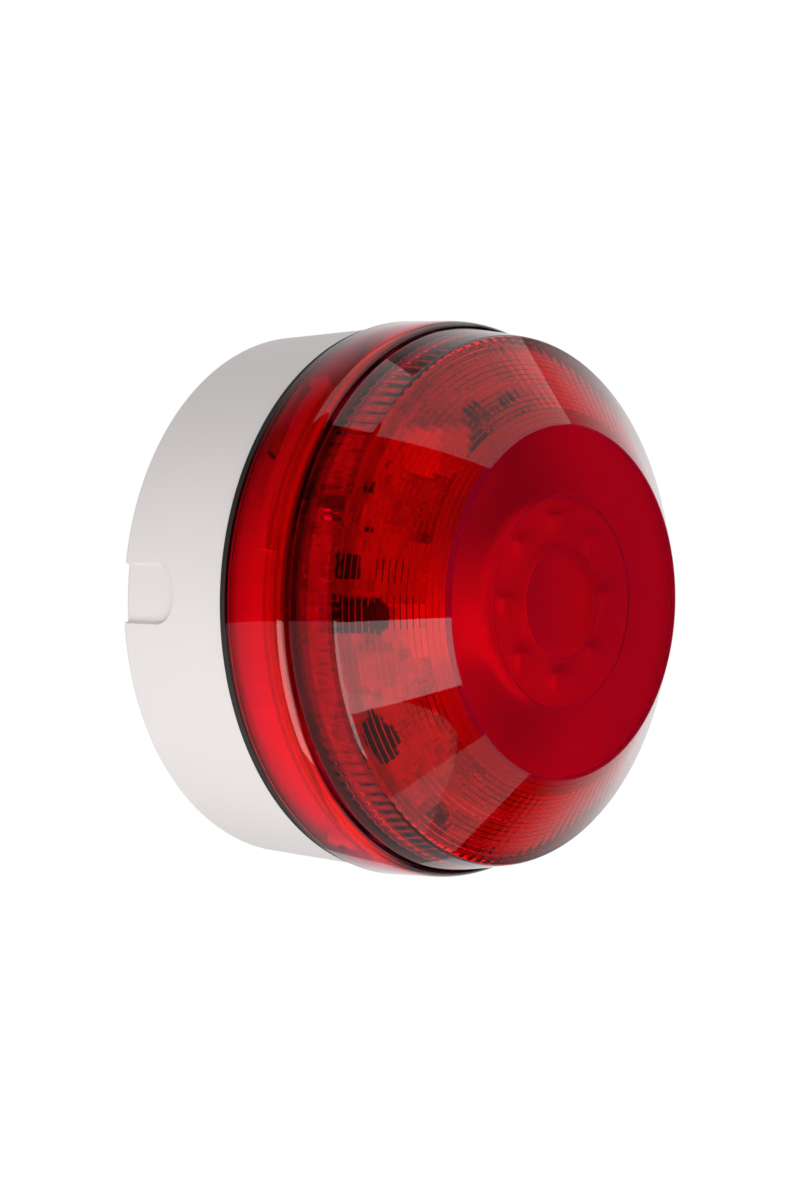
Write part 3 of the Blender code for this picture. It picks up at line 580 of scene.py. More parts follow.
@dataclass(frozen=True)
class ClearRedFinish:
    """Clear red polycarbonate that lets the lamps' light through to what is behind it."""

    name: str = "red_polycarbonate"
    # Red at each depth in mm. Besides the lens's own red these carry painted light: bands of painted shade
    # at the flange's edges, the groove, the neck's rear band and the neck's join with the cone, a full-red
    # painted highlight on the shoulder, and blue as a painted sheen, strongest on the face.
    red_with_painted_light: tuple[tuple[float, Colour], ...] = (
        (26.2, (0.45, 0.0, 0.03)),
        (26.7, (0.55, 0.0, 0.03)),
        (27.5, (0.90, 0.0, 0.10)),
        (34.9, (0.91, 0.0, 0.09)),
        (35.3, (0.42, 0.0, 0.03)),
        (36.0, (0.50, 0.0, 0.02)),
        (36.3, (1.0, 0.0, 0.0)),
        (38.4, (1.0, 0.0, 0.0)),
        (38.8, (0.06, 0.0, 0.004)),
        (39.6, (0.04, 0.0, 0.004)),
        (39.8, (0.20, 0.004, 0.03)),
        (41.9, (0.24, 0.004, 0.03)),
        (42.4, (0.86, 0.0, 0.12)),
        (47.4, (0.90, 0.0, 0.10)),
        (47.9, (0.34, 0.0, 0.006)),
        (48.9, (0.34, 0.0, 0.004)),
        (49.6, (0.98, 0.0, 0.01)),
        (59.0, (0.98, 0.0, 0.01)),
        (61.0, (0.90, 0.0, 0.02)),
        (61.9, (0.94, 0.0, 0.25)),
    )
    lamp_tint: Colour = (0.98, 0.06, 0.07)
    roughness: float = 0.02
    ior: float = 1.585

    def build(self, group: bpy.types.NodeTree) -> bpy.types.Material:
        """Makes the material.

        Args:
            group: The moulded-surface group.

        Returns:
            The material.
        """
        s = Shader(self.name)
        skin = s.group(
            group,
            Color=self.painted_light_red(s),
            Dust_Color=(0.9, 0.55, 0.55),
            Roughness=self.roughness,
            Roughness_Spread=0.01,
            Grain_Size=2.2 * MM,
            Grain_Height=0.0006 * MM,
            Wave_Height=0.006 * MM,
            Tint_Spread=0.02,
            Dust=0.06,
        )
        frost = s.node("ShaderNodeAttribute", attribute_name="frost").outputs["Fac"]
        s.surface(Base_Color=skin["Color"], Roughness=s.math("MAXIMUM", skin["Roughness"], frost))
        s.surface(Normal=skin["Normal"], Metallic=0.0, IOR=self.ior, Transmission_Weight=1.0)
        clear = s.node("ShaderNodeBsdfTransparent")
        s.feed_named(clear, Color=self.lamp_tint)
        mix = s.node("ShaderNodeMixShader")
        s.link(s.node("ShaderNodeLightPath").outputs["Is Shadow Ray"], mix.inputs["Fac"])
        s.link(s.principled.outputs["BSDF"], mix.inputs[1])
        s.link(clear.outputs["BSDF"], mix.inputs[2])
        s.link(mix.outputs["Shader"], s.output.inputs["Surface"])
        return s.material

    def painted_light_red(self, s: Shader) -> bpy.types.NodeSocket:
        """The red along the lens's depth, with painted light in it: darker painted shade at the flange's
        rear and front edges, near-black painted shade in the groove behind the shoulder, dim purple painted
        shade on the neck's rear band and a darker band where the neck meets the cone, the shoulder painted
        full red as a highlight, and blue standing for a painted sheen on flange, neck and face, strongest
        on the face.

        Args:
            s: The shader to add to.

        Returns:
            The colour's socket.
        """
        split = s.node("ShaderNodeSeparateXYZ")
        s.link(s.node("ShaderNodeTexCoord").outputs["Object"], split.inputs[0])
        start, end = self.red_with_painted_light[0][0] * MM, self.red_with_painted_light[-1][0] * MM
        along = s.node("ShaderNodeMapRange")
        s.feed_named(along, From_Min=-start, From_Max=-end, Value=split.outputs["Y"])
        ramp = s.node("ShaderNodeValToRGB")
        points = ramp.color_ramp.elements
        while len(points) < len(self.red_with_painted_light):
            points.new(1.0)
        for point, (depth, _) in zip(points, self.red_with_painted_light):
            point.position = (depth * MM - start) / (end - start)
        for point, (_, colour) in zip(points, self.red_with_painted_light):
            point.color = (*colour, 1.0)
        s.link(along.outputs["Result"], ramp.inputs["Fac"])
        return ramp.outputs["Color"]


class Finishes:
    """Every finish of the strobe, each built once."""

    def __init__(self) -> None:
        """Builds the shared group and all materials."""
        group = moulded_surface_group()

        def moulded(name: str, colour: Colour, **values: float) -> bpy.types.Material:
            return MouldedFinish(name, colour, **values).build(group)

        self.lens = ClearRedFinish().build(group)
        self.base = moulded("warm_white_moulding", (0.765, 0.73, 0.72), roughness=0.42)
        self.chassis = moulded("inner_white_moulding", (0.92, 0.90, 0.87), roughness=0.4)
        self.rubber = moulded("seal_rubber", (0.022, 0.018, 0.017), roughness=0.62, grain=0.15 * MM)
        self.mask = SolderMaskFinish().build(group, board_layout_group())
        self.copper = moulded("tinned_pad", (0.70, 0.68, 0.64), roughness=0.35, metallic=0.3)
        self.epoxy = moulded("black_epoxy", (0.016, 0.016, 0.017), roughness=0.5)
        self.sleeve = moulded("capacitor_sleeve", (0.02, 0.02, 0.035), roughness=0.25)
        self.steel = moulded("zinc_plate", (0.62, 0.63, 0.64), roughness=0.32, metallic=1.0)
        self.brass = moulded("brass_disc", (0.78, 0.58, 0.25), roughness=0.3, metallic=1.0)
        self.green = moulded("terminal_green", (0.40, 0.70, 0.44), roughness=0.42)
        self.blue = moulded("switch_blue", (0.36, 0.50, 0.80), roughness=0.4)
        self.tape = moulded("winding_tape", (0.82, 0.66, 0.22), roughness=0.3, grain=0.4 * MM)
        self.drum = moulded("inductor_shield", (0.62, 0.62, 0.60), roughness=0.45)
        self.ceramic = moulded("ceramic_body", (0.66, 0.52, 0.38), roughness=0.35)
        self.phosphor = moulded("led_phosphor", (0.86, 0.74, 0.20), roughness=0.5)
        self.white = moulded("switch_white", (0.80, 0.80, 0.78), roughness=0.35)
        self.led = moulded("led_housing", (0.86, 0.84, 0.72), roughness=0.35)
        self.red_wire = moulded("red_wire", (0.45, 0.015, 0.015), roughness=0.4)
        self.black_wire = moulded("black_wire", (0.02, 0.02, 0.02), roughness=0.4)


# ------------------------------------------------------------------------------------------------
# Lens
# ------------------------------------------------------------------------------------------------


@dataclass
class Lens:
    """The red lens: flange, fluted neck, ringed cone and flat ringed face, with its lugs."""

    finishes: Finishes
    flange_length: float = 9.8 * MM
    shoulder_length: float = 3.1 * MM
    shoulder_drop: float = 1.2 * MM
    groove_drop: float = 0.7 * MM
    neck_rear_radius: float = 47.7 * MM
    neck_front_radius: float = 46.5 * MM
    neck_rear_step: float = 13.5 * MM
    cone_length: float = 13.8 * MM
    face_radius: float = 31.3 * MM
    wall: float = 2.2 * MM
    flange_wall: float = 2.6 * MM
    corner: float = 1.6 * MM
    sharp: float = 24.0
    flutes: int = 120
    steps_per_flute: int = 4
    flute_depth: float = 0.16 * MM
    cone_flute_depth: float = 0.05 * MM
    ring_pitch: float = 1.1 * MM
    ring_depth: float = 0.09 * MM
    face_ring_depth: float = 0.035 * MM
    tooth_lean: float = 0.82
    optic_radius: float = 9.6 * MM
    step_radius: float = 18.4 * MM
    step_depth: float = 0.12 * MM
    rear_edge: float = 0.4 * MM
    face_frost: float = 0.40
    cone_frost: float = 0.07
    lug_count: int = 3
    lug_steps: int = 16
    lug_from: float = 5.7
    lug_span: float = 20.0
    lug_thick: float = 1.3 * MM
    thread_lead: float = 21.6 * MM
    lug_reach: float = 2.4 * MM
    rear: float = field(init=False)
    front: float = field(init=False)
    radius: float = field(init=False)

    def __post_init__(self) -> None:
        """Reads the lens's place from the frame."""
        self.rear, self.front = depth_range("lens")
        self.radius = outer_radius("lens")

    @property
    def neck_rear(self) -> float:
        """Depth of the neck's rear end."""
        return self.rear + self.neck_rear_step

    @property
    def cone_rear(self) -> float:
        """Depth of the cone's rear end."""
        return self.front - self.cone_length

    def outside(self) -> Profile:
        """Outer profile from the rear edge to the centre of the face.

        Returns:
            Points as (radius, depth).
        """
        flange_front = self.rear + self.flange_length
        shoulder = [
            (
                self.radius - self.shoulder_drop * (1 - math.cos(turn)),
                flange_front + self.shoulder_length * math.sin(turn),
            )
            for turn in (math.radians(90 * i / 14) for i in range(15))
        ]
        slope = math.degrees(math.atan2(self.neck_front_radius - self.face_radius, self.cone_length))
        cut = self.corner
        edge = cut / 2
        neck_end = arc((self.neck_front_radius - cut, self.cone_rear), cut, 0, 90 - slope, 6)
        rim = arc((self.face_radius - edge, self.front - edge), edge, 90 - slope, 90, 6)
        groove = self.neck_rear_radius - self.groove_drop
        return [
            (self.radius - self.rear_edge, self.rear),
            (self.radius - self.rear_edge / 4, self.rear + self.rear_edge / 4),
            (self.radius, self.rear + self.rear_edge),
            *shoulder,
            (groove, shoulder[-1][1] + 0.03 * MM),
            (groove, self.neck_rear - 0.12 * MM),
            (self.neck_rear_radius - 0.15 * MM, self.neck_rear),
            (self.neck_rear_radius, self.neck_rear + 0.2 * MM),
            *neck_end,
            *rim,
            (0.0, self.front),
        ]

    def inner_corners(self) -> tuple[tuple[float, float], tuple[float, float]]:
        """Corners of the inner cone, at the wall's thickness behind the outer one.

        Returns:
            The face-side corner and the neck-side corner.
        """
        fall = self.neck_front_radius - self.face_radius
        run = math.hypot(fall, self.cone_length)
        back_off = self.wall * run / fall
        slope = self.cone_length / fall
        face = (self.face_radius - (back_off - self.wall) / slope, self.front - self.wall)
        neck = (self.neck_front_radius - self.wall, self.cone_rear - back_off + self.wall * slope)
        return face, neck

    def ringed(self, start: tuple[float, float], end: tuple[float, float], tooth_depth: float) -> Profile:
        """A straight stretch of inner profile with fine saw-tooth rings on it.

        Args:
            start: First point.
            end: Last point.
            tooth_depth: Depth of the teeth, along the profile's left-hand normal.

        Returns:
            Points as (radius, depth), without the last one.
        """
        a, b = np.array(start), np.array(end)
        length = float(np.linalg.norm(b - a))
        along = (b - a) / length
        normal = np.array((-along[1], along[0]))
        count = max(1, round(length / self.ring_pitch))
        points: Profile = []
        for i in range(count):
            foot = a + along * (length * i / count)
            tooth = a + along * (length * (i + self.tooth_lean) / count) + normal * tooth_depth
            points += [tuple(foot), tuple(tooth)]
        return points

    def inside(self) -> Profile:
        """Inner profile from the centre of the face back to the rear edge.

        Returns:
            Points as (radius, depth).
        """
        face, neck = self.inner_corners()
        flat, step, at = self.optic_radius, self.step_radius, face[1]
        bore = self.radius - self.flange_wall
        return [
            (0.0, at),
            (flat - 0.25 * MM, at),
            (flat, at + 0.08 * MM),
            (flat + 0.25 * MM, at),
            *self.ringed((flat + 0.6 * MM, at), (step - 0.4 * MM, at), self.face_ring_depth),
            (step, at),
            (step + 0.2 * MM, at + self.step_depth),
            *self.ringed((step + 0.6 * MM, at), face, self.face_ring_depth),
            *self.ringed(face, neck, self.ring_depth),
            neck,
            (neck[0], self.neck_rear + 1.0 * MM),
            (neck[0], self.neck_rear),
            (bore, self.rear + self.flange_length),
            (bore, self.rear + 0.3 * MM),
            (bore + 0.3 * MM, self.rear),
        ]

    def build(self) -> list[bpy.types.Object]:
        """Builds the lens and lets it stand for its frame node.

        Returns:
            The lens's shell and its lugs.
        """
        columns = self.flutes * self.steps_per_flute
        angles = np.arange(columns) * math.tau / columns
        phase = (angles * self.flutes / math.tau) % 1.0
        flute = 0.5 - 0.5 * np.cos(phase * math.tau)
        _, neck = self.inner_corners()
        fluted = (self.neck_rear + 0.5 * MM, neck[1] + 0.01 * MM)
        rings, frosted = [], []
        for radius, depth in self.inside():
            ripple = 0.0
            if radius > self.face_radius and depth > fluted[0]:
                ripple = self.flute_depth if depth < fluted[1] else self.cone_flute_depth
            rings.append(ring_points(radius + flute * ripple, depth, angles))
            frosted.append(self.face_frost if depth > self.front - 2 * self.wall else self.cone_frost)
        for radius, depth in self.outside():
            rings.append(ring_points(radius, depth, angles))
            frosted.append(0.0)
        skin = self.finishes.lens
        shell = MeshBuilder.revolved_grid("lens_shell", np.stack(rings), skin, self.sharp, frosted)
        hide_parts("lens")
        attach(shell, Body.LENS.value)
        lugs = self.build_lugs()
        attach(lugs, Body.LENS.value)
        return [shell, lugs]

    def build_lugs(self) -> bpy.types.Object:
        """Three lugs inside the flange that ride under the collar's thread.

        Returns:
            One object with all three.
        """
        shape = bmesh.new()
        outer = self.radius - self.flange_wall + 0.3 * MM
        inner = outer - self.lug_reach
        start_depth = self.rear + 0.4 * MM
        for lug in range(self.lug_count):
            rings = []
            for i in range(self.lug_steps + 1):
                turn = self.lug_from + self.lug_span * i / self.lug_steps
                low = start_depth + self.thread_lead * turn / 360
                high = low + self.lug_thick
                at = turn + 360 / self.lug_count * lug
                section = ((inner, high), (outer, high), (outer, low), (inner, low))
                rings.append([on_ring(radius, at, depth) for radius, depth in section])
            add_loft(shape, rings)
        return MeshBuilder.from_bmesh("lens_lugs", shape, self.finishes.lens)


# ------------------------------------------------------------------------------------------------
# Base and seal
# ------------------------------------------------------------------------------------------------


@dataclass
class Base:
    """The white drum with its softly edged knock-outs, and the seal in front of it."""

    finishes: Finishes
    rear_radius: float = 46.1 * MM
    chamfer: float = 0.5 * MM
    wall: float = 2.4 * MM
    floor: float = 3.0 * MM
    edge_round: float = 0.35 * MM
    knockout_width: float = 10.3 * MM
    knockout_height: float = 12.4 * MM
    knockout_corner: float = 4.6 * MM
    knockout_recess: float = 1.0 * MM
    knockout_edge: float = 0.35 * MM
    boss_radius: float = 3.6 * MM
    boss_ring: float = 37.4 * MM
    boss_angles: tuple[int, ...] = (90, 210, 330)
    boss_front: float = 25.2 * MM
    pilot_radius: float = 1.75 * MM
    pilot_rear: float = 16.5 * MM
    knockout_turn: float = 2.9
    slot_offset: float = 30.0 * MM
    slot_length: float = 8.5 * MM
    slot_width: float = 4.5 * MM
    entry_radius: float = 10.0 * MM
    sound_recess: float = 1.4 * MM
    sound_recess_radius: float = 12.0 * MM
    sound_channel: float = 6.0 * MM
    sound_hole_radius: float = 1.4 * MM
    sound_hole_ring: float = 6.5 * MM
    sound_holes: int = 6
    past: float = 1.0 * MM
    fine_turn: float = 0.2
    fine_step: float = 0.2 * MM
    fine_margin: float = 1.6
    coarse_columns: int = 90
    coarse_rows: int = 8
    sharp: float = 32.0
    seal_width: float = 3.3 * MM
    seal_edge: float = 0.25 * MM
    height: float = field(init=False)
    front_radius: float = field(init=False)

    def __post_init__(self) -> None:
        """Reads the base's place from the frame."""
        self.height = depth_range("seal_ring")[0] - 0.3 * MM
        self.front_radius = outer_radius("mounting_base")

    def angles(self) -> np.ndarray:
        """Angles of the wall's columns: close together across the two knock-outs.

        Returns:
            Angles in radians, in order.
        """
        reach = math.degrees(self.knockout_width / 2 / self.rear_radius) + self.fine_margin
        fine = np.arange(-reach, reach + 1e-9, self.fine_turn)
        coarse = np.linspace(reach, 180 - reach, self.coarse_columns)[1:-1]
        return np.radians(np.concatenate([fine, coarse, fine + 180, coarse + 180]) - self.knockout_turn)

    def recess(self, angles: np.ndarray, depth: float) -> np.ndarray:
        """How far the wall is sunk at each angle of one ring.

        Args:
            angles: Angles in radians.
            depth: Depth of the ring.

        Returns:
            One number for each angle.
        """
        across = np.abs(np.sin(angles + math.radians(self.knockout_turn))) * self.rear_radius
        half = self.knockout_width / 2 - self.knockout_corner
        tall = self.knockout_height - self.knockout_corner
        dx = np.maximum(across - half, 0)
        dy = max(depth - tall, 0)
        outside = np.hypot(dx, dy) - self.knockout_corner
        soft = self.knockout_edge
        return self.knockout_recess * (1 - smoothstep(-soft / 2, soft / 2, outside))

    def build(self) -> list[bpy.types.Object]:
        """Builds the drum and the seal.

        Returns:
            Both objects.
        """
        return [self.build_drum(), self.build_seal()]

    def build_drum(self) -> bpy.types.Object:
        """The drum: its wall and floor as one shell, with bosses on it and the floor's openings cut.

        Returns:
            The drum.
        """
        angles = self.angles()
        fine = np.arange(self.chamfer, self.knockout_height + 1.2 * MM, self.fine_step)
        coarse = np.linspace(fine[-1] + 0.5 * MM, self.height - self.edge_round, self.coarse_rows)
        slope = (self.front_radius - self.rear_radius) / self.height
        inner = self.rear_radius - self.wall
        rings = [ring_points(0.0, self.floor, angles), ring_points(inner, self.floor, angles)]
        rings.append(ring_points(inner + 0.4 * MM, self.height, angles))
        top_centre = (self.front_radius - self.edge_round, self.height - self.edge_round)
        top = arc(top_centre, self.edge_round, 90, 0, 5)
        rings += [ring_points(radius, depth, angles) for radius, depth in top]
        for depth in np.concatenate([fine, coarse])[::-1]:
            radius = self.rear_radius + slope * depth - self.recess(angles, float(depth))
            rings.append(ring_points(radius, float(depth), angles))
        corner = arc((self.rear_radius - self.chamfer, self.chamfer), self.chamfer, 0, -90, 4)[1:]
        for radius, depth in corner:
            rings.append(ring_points(radius - self.recess(angles, 0.0), depth, angles))
        rings.append(ring_points(0.0, 0.0, angles))
        drum = MeshBuilder.revolved_grid("base_drum", np.stack(rings), self.finishes.base, self.sharp)
        MeshBuilder.combine(drum, self.bosses(), "UNION")
        MeshBuilder.combine(drum, self.openings(), "DIFFERENCE")
        drum.data.shade_smooth()
        drum.data.set_sharp_from_angle(angle=math.radians(self.sharp))
        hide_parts("mounting_base")
        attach(drum, Body.BASE.value)
        return drum

    def bosses(self) -> list[bpy.types.Object]:
        """The three bosses that take the chassis screws.

        Returns:
            The bosses, sunk a little into the floor.
        """
        made = []
        for angle in self.boss_angles:
            at = on_ring(self.boss_ring, angle, 0)
            made.append(self.rod(self.boss_radius, self.floor - 0.4 * MM, self.boss_front, at.x, at.z))
        return made

    def openings(self) -> list[bpy.types.Object]:
        """Cutters for the screw holes, the wall slots, the cable entry and the horn's sound path.

        Returns:
            The cutters.
        """
        past, through = self.past, (-self.past, self.floor + self.past)
        made = []
        for angle in self.boss_angles:
            at = on_ring(self.boss_ring, angle, 0)
            made.append(self.rod(self.pilot_radius, self.pilot_rear, self.boss_front + past, at.x, at.z))
        for side in (-1, 1):
            made.append(self.slot(side * self.slot_offset, self.slot_length, self.slot_width))
        entry = centre_of("cable_grommet")
        made.append(self.rod(self.entry_radius, *through, entry.x, entry.z, 48))
        horn = centre_of("sounder_horn")
        made.append(self.rod(self.sound_recess_radius, -past, self.sound_recess, horn.x, horn.z, 64))
        for i in range(self.sound_holes + 1):
            at = on_ring(self.sound_hole_ring if i else 0.0, 360 * i / self.sound_holes, 0)
            made.append(self.rod(self.sound_hole_radius, *through, horn.x + at.x, horn.z + at.z, 20))
        start = horn.z - self.sound_recess_radius + past
        length = self.front_radius + start + past
        channel = self.sound_recess - 0.2 * MM
        box = bmesh.new()
        bmesh.ops.create_cube(box, size=1.0)
        size = Matrix.Diagonal((self.sound_channel, channel + past, length, 1.0))
        place = Matrix.Translation((horn.x, -(channel - past) / 2, start - length / 2))
        box.transform(place @ size)
        made.append(MeshBuilder.from_bmesh("channel_cutter", box, self.finishes.base))
        return made

    def rod(
        self, radius: float, rear: float, front: float, x: float, z: float, steps: int = 40
    ) -> bpy.types.Object:
        """A round bar along the strobe's axis direction.

        Args:
            radius: Its radius.
            rear: Depth of its rear end.
            front: Depth of its front end.
            x: Place across.
            z: Place up.
            steps: Number of sides.

        Returns:
            The bar.
        """
        angles = np.arange(steps) * math.tau / steps
        shape = bmesh.new()
        place = np.array((x, 0, z))
        add_loft(shape, [ring_points(radius, depth, angles) + place for depth in (rear, front)])
        return MeshBuilder.from_bmesh("rod", shape, self.finishes.base)

    def slot(self, x: float, length: float, width: float) -> bpy.types.Object:
        """A cutter with round ends that runs through the floor, level.

        Args:
            x: Middle of the slot.
            length: Its whole length.
            width: Its width.

        Returns:
            The cutter.
        """
        half, radius = (length - width) / 2, width / 2
        outline = []
        for side in (1, -1):
            for i in range(17):
                turn = math.radians(-90 + 180 * i / 16)
                across = half + radius * math.cos(turn)
                outline.append((x + side * across, side * radius * math.sin(turn)))
        shape = bmesh.new()
        ends = (self.past, -self.floor - self.past)
        add_loft(shape, [[(px, y, pz) for px, pz in outline] for y in ends])
        return MeshBuilder.from_bmesh("slot", shape, self.finishes.base)

    def build_seal(self) -> bpy.types.Object:
        """The black ring between base and lens.

        Returns:
            The ring.
        """
        rear, front = depth_range("seal_ring")
        outer = outer_radius("seal_ring")
        inner = outer - self.seal_width
        edge = self.seal_edge
        profile = [
            (inner, rear),
            *arc((outer - edge, rear + edge), edge, -90, 0, 4),
            *arc((outer - edge, front - edge), edge, 0, 90, 4),
            (inner, front),
        ]
        ring = MeshBuilder.turned("seal", profile, self.finishes.rubber)
        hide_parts("seal_ring")
        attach(ring, Body.SEAL.value)
        return ring


# ------------------------------------------------------------------------------------------------
# Small repeated parts, by Geometry Nodes
# ------------------------------------------------------------------------------------------------


class Form(Enum):
    """Shapes that can be copied."""

    BLOCK = "block"
    DISC = "disc"


@dataclass(frozen=True)
class Spot:
    """Where a copy stands: its foot, its turn, and the size it is scaled by."""

    foot: Vector
    turn: Euler
    scale: float = 1.0


class CopyTree(NodeBuilder):
    """A node tree that stands copies of one small shape on points."""

    SIZES = ("Length", "Width", "Height", "Lift")
    DISC_SIDES = 24

    def __init__(self, form: Form) -> None:
        """Builds the tree for blocks or discs.

        Args:
            form: The shape to copy.
        """
        super().__init__(bpy.data.node_groups.new(f"copies_of_{form.value}", "GeometryNodeTree"))
        face = self.tree.interface
        face.new_socket("Points", in_out="INPUT", socket_type="NodeSocketGeometry")
        self.sizes = {
            label: face.new_socket(label, in_out="INPUT", socket_type="NodeSocketFloat").identifier
            for label in self.SIZES
        }
        self.finish = face.new_socket("Finish", in_out="INPUT", socket_type="NodeSocketMaterial").identifier
        face.new_socket("Mesh", in_out="OUTPUT", socket_type="NodeSocketGeometry")
        given = self.node("NodeGroupInput").outputs
        if form is Form.BLOCK:
            shape = self.node("GeometryNodeMeshCube")
            size = self.node("ShaderNodeCombineXYZ")
            for label, socket in zip(self.SIZES, size.inputs):
                self.link(given[label], socket)
            self.link(size.outputs[0], shape.inputs["Size"])
        else:
            shape = self.node("GeometryNodeMeshCylinder")
            radius = self.math("MULTIPLY", given["Length"], 0.5)
            self.feed_named(shape, Vertices=self.DISC_SIDES, Radius=radius, Depth=given["Height"])
        lift = self.node("ShaderNodeCombineXYZ")
        self.feed_named(lift, Z=given["Lift"])
        raised = self.node("GeometryNodeTransform")
        self.feed_named(raised, Geometry=shape.outputs["Mesh"], Translation=lift.outputs[0])
        copies = self.node("GeometryNodeInstanceOnPoints")
        self.feed_named(
            copies,
            Points=given["Points"],
            Instance=raised.outputs["Geometry"],
            Rotation=self.attribute("turn", "FLOAT_VECTOR"),
            Scale=self.attribute("scale", "FLOAT"),
        )
        real = self.node("GeometryNodeRealizeInstances")
        self.feed_named(real, Geometry=copies.outputs["Instances"])
        dressed = self.node("GeometryNodeSetMaterial")
        self.feed_named(dressed, Geometry=real.outputs["Geometry"], Material=given["Finish"])
        self.feed_named(self.node("NodeGroupOutput"), Mesh=dressed.outputs["Geometry"])

    def attribute(self, name: str, kind: str) -> bpy.types.NodeSocket:
        """Reads a named attribute of the points.

        Args:
            name: The attribute.
            kind: Its data type.

        Returns:
            Its socket.
        """
        node = self.node("GeometryNodeInputNamedAttribute", data_type=kind)
        self.feed_named(node, Name=name)
        return node.outputs["Attribute"]

    def stand(
        self,
        name: str,
        spots: Sequence[Spot],
        sizes: tuple[float, float, float, float],
        finish: bpy.types.Material,
    ) -> bpy.types.Object:
        """Stands a copy on each spot and turns the result into one plain mesh.

        Args:
            name: Name of the object.
            spots: Where the copies stand.
            sizes: Length, width, height and lift of the shape.
            finish: Material of the copies.

        Returns:
            The object.
        """
        mesh = bpy.data.meshes.new(name)
        mesh.from_pydata([spot.foot for spot in spots], [], [])
        turn = mesh.attributes.new("turn", "FLOAT_VECTOR", "POINT")
        turn.data.foreach_set("vector", [value for spot in spots for value in spot.turn])
        scale = mesh.attributes.new("scale", "FLOAT", "POINT")
        scale.data.foreach_set("value", [spot.scale for spot in spots])
        made = put(name, mesh)
        grow = made.modifiers.new("copies", "NODES")
        grow.node_group = self.tree
        for label, value in zip(self.SIZES, sizes):
            grow[self.sizes[label]] = value
        grow[self.finish] = finish
        baked = bake(made)
        baked.name = name
        baked.shade_smooth()
        baked.set_sharp_from_angle(angle=math.radians(30))
        return made


@dataclass
class BoardParts:
    """The small surface-mounted parts on the main board."""

    finishes: Finishes
    blocks: CopyTree
    seed: int = 11
    grid: float = 3.1 * MM
    spare: float = 1.1 * MM
    edge: float = 2.2 * MM
    jitter: float = 0.4
    filled: float = 0.78
    shares: tuple[float, float, float] = (0.5, 0.46, 0.04)
    headroom: float = 2 * MM
    around: tuple[str, ...] = ("lens", "chassis", "mounting_base", "main_board")

    def obstacles(self, front: float) -> list[tuple[Vector, Vector]]:
        """Boxes of the frame nodes that stand on the main board.

        Args:
            front: Depth of the board's front.

        Returns:
            Their lowest and highest corners.
        """
        found = []
        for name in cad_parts:
            rear, top = depth_range(name)
            if name not in self.around and rear < front + self.headroom < top:
                found.append(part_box(name))
        return found

    def free_spots(self) -> list[tuple[float, float]]:
        """Places on the main board that nothing else takes.

        Returns:
            Places as (x, z).
        """
        front = depth_range("main_board")[1]
        taken = self.obstacles(front)
        reach = outer_radius("main_board") - self.edge
        random = np.random.default_rng(self.seed)
        count = int(reach / self.grid)
        found = []
        for i in range(-count, count + 1):
            for k in range(-count, count + 1):
                moved = random.uniform(-self.jitter, self.jitter, 2) * MM
                x, z = (np.array((i, k)) * self.grid + moved).tolist()
                clear = all(
                    x < low[0] - self.spare
                    or x > high[0] + self.spare
                    or z < low[2] - self.spare
                    or z > high[2] + self.spare
                    for low, high in taken
                )
                if math.hypot(x, z) < reach and clear and random.random() < self.filled:
                    found.append((x, z))
        return found

    def build(self) -> list[bpy.types.Object]:
        """Builds resistors, capacitors and small packages in a few sizes.

        Returns:
            The pieces.
        """
        f = self.finishes
        front = depth_range("main_board")[1]
        random = np.random.default_rng(self.seed + 1)
        resistors: list[Spot] = []
        capacitors: list[Spot] = []
        packages: list[Spot] = []
        kinds = (resistors, capacitors, packages)
        for x, z in self.free_spots():
            spin = math.pi / 2 * int(random.integers(0, 2))
            size = float(random.uniform(0.85, 1.15))
            spot = Spot(Vector((x, -front, z)), Euler((math.pi / 2, spin, 0)), size)
            kinds[int(random.choice(3, p=self.shares))].append(spot)
        table = (
            ("resistor_caps", resistors, (2.0, 1.2, 0.5, 0.25), f.copper),
            ("resistor_bodies", resistors, (1.3, 1.24, 0.56, 0.28), f.white),
            ("capacitor_caps", capacitors, (2.2, 1.3, 1.1, 0.55), f.copper),
            ("capacitor_bodies", capacitors, (1.4, 1.34, 1.16, 0.58), f.ceramic),
            ("package_legs", packages, (2.6, 1.0, 0.3, 0.15), f.copper),
            ("package_bodies", packages, (1.6, 1.6, 1.0, 0.55), f.epoxy),
        )
        made = [
            self.blocks.stand(name, spots, tuple(value * MM for value in sizes), finish)
            for name, spots, sizes, finish in table
        ]
        for piece in made:
            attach(piece, Body.BASE.value)
        return made


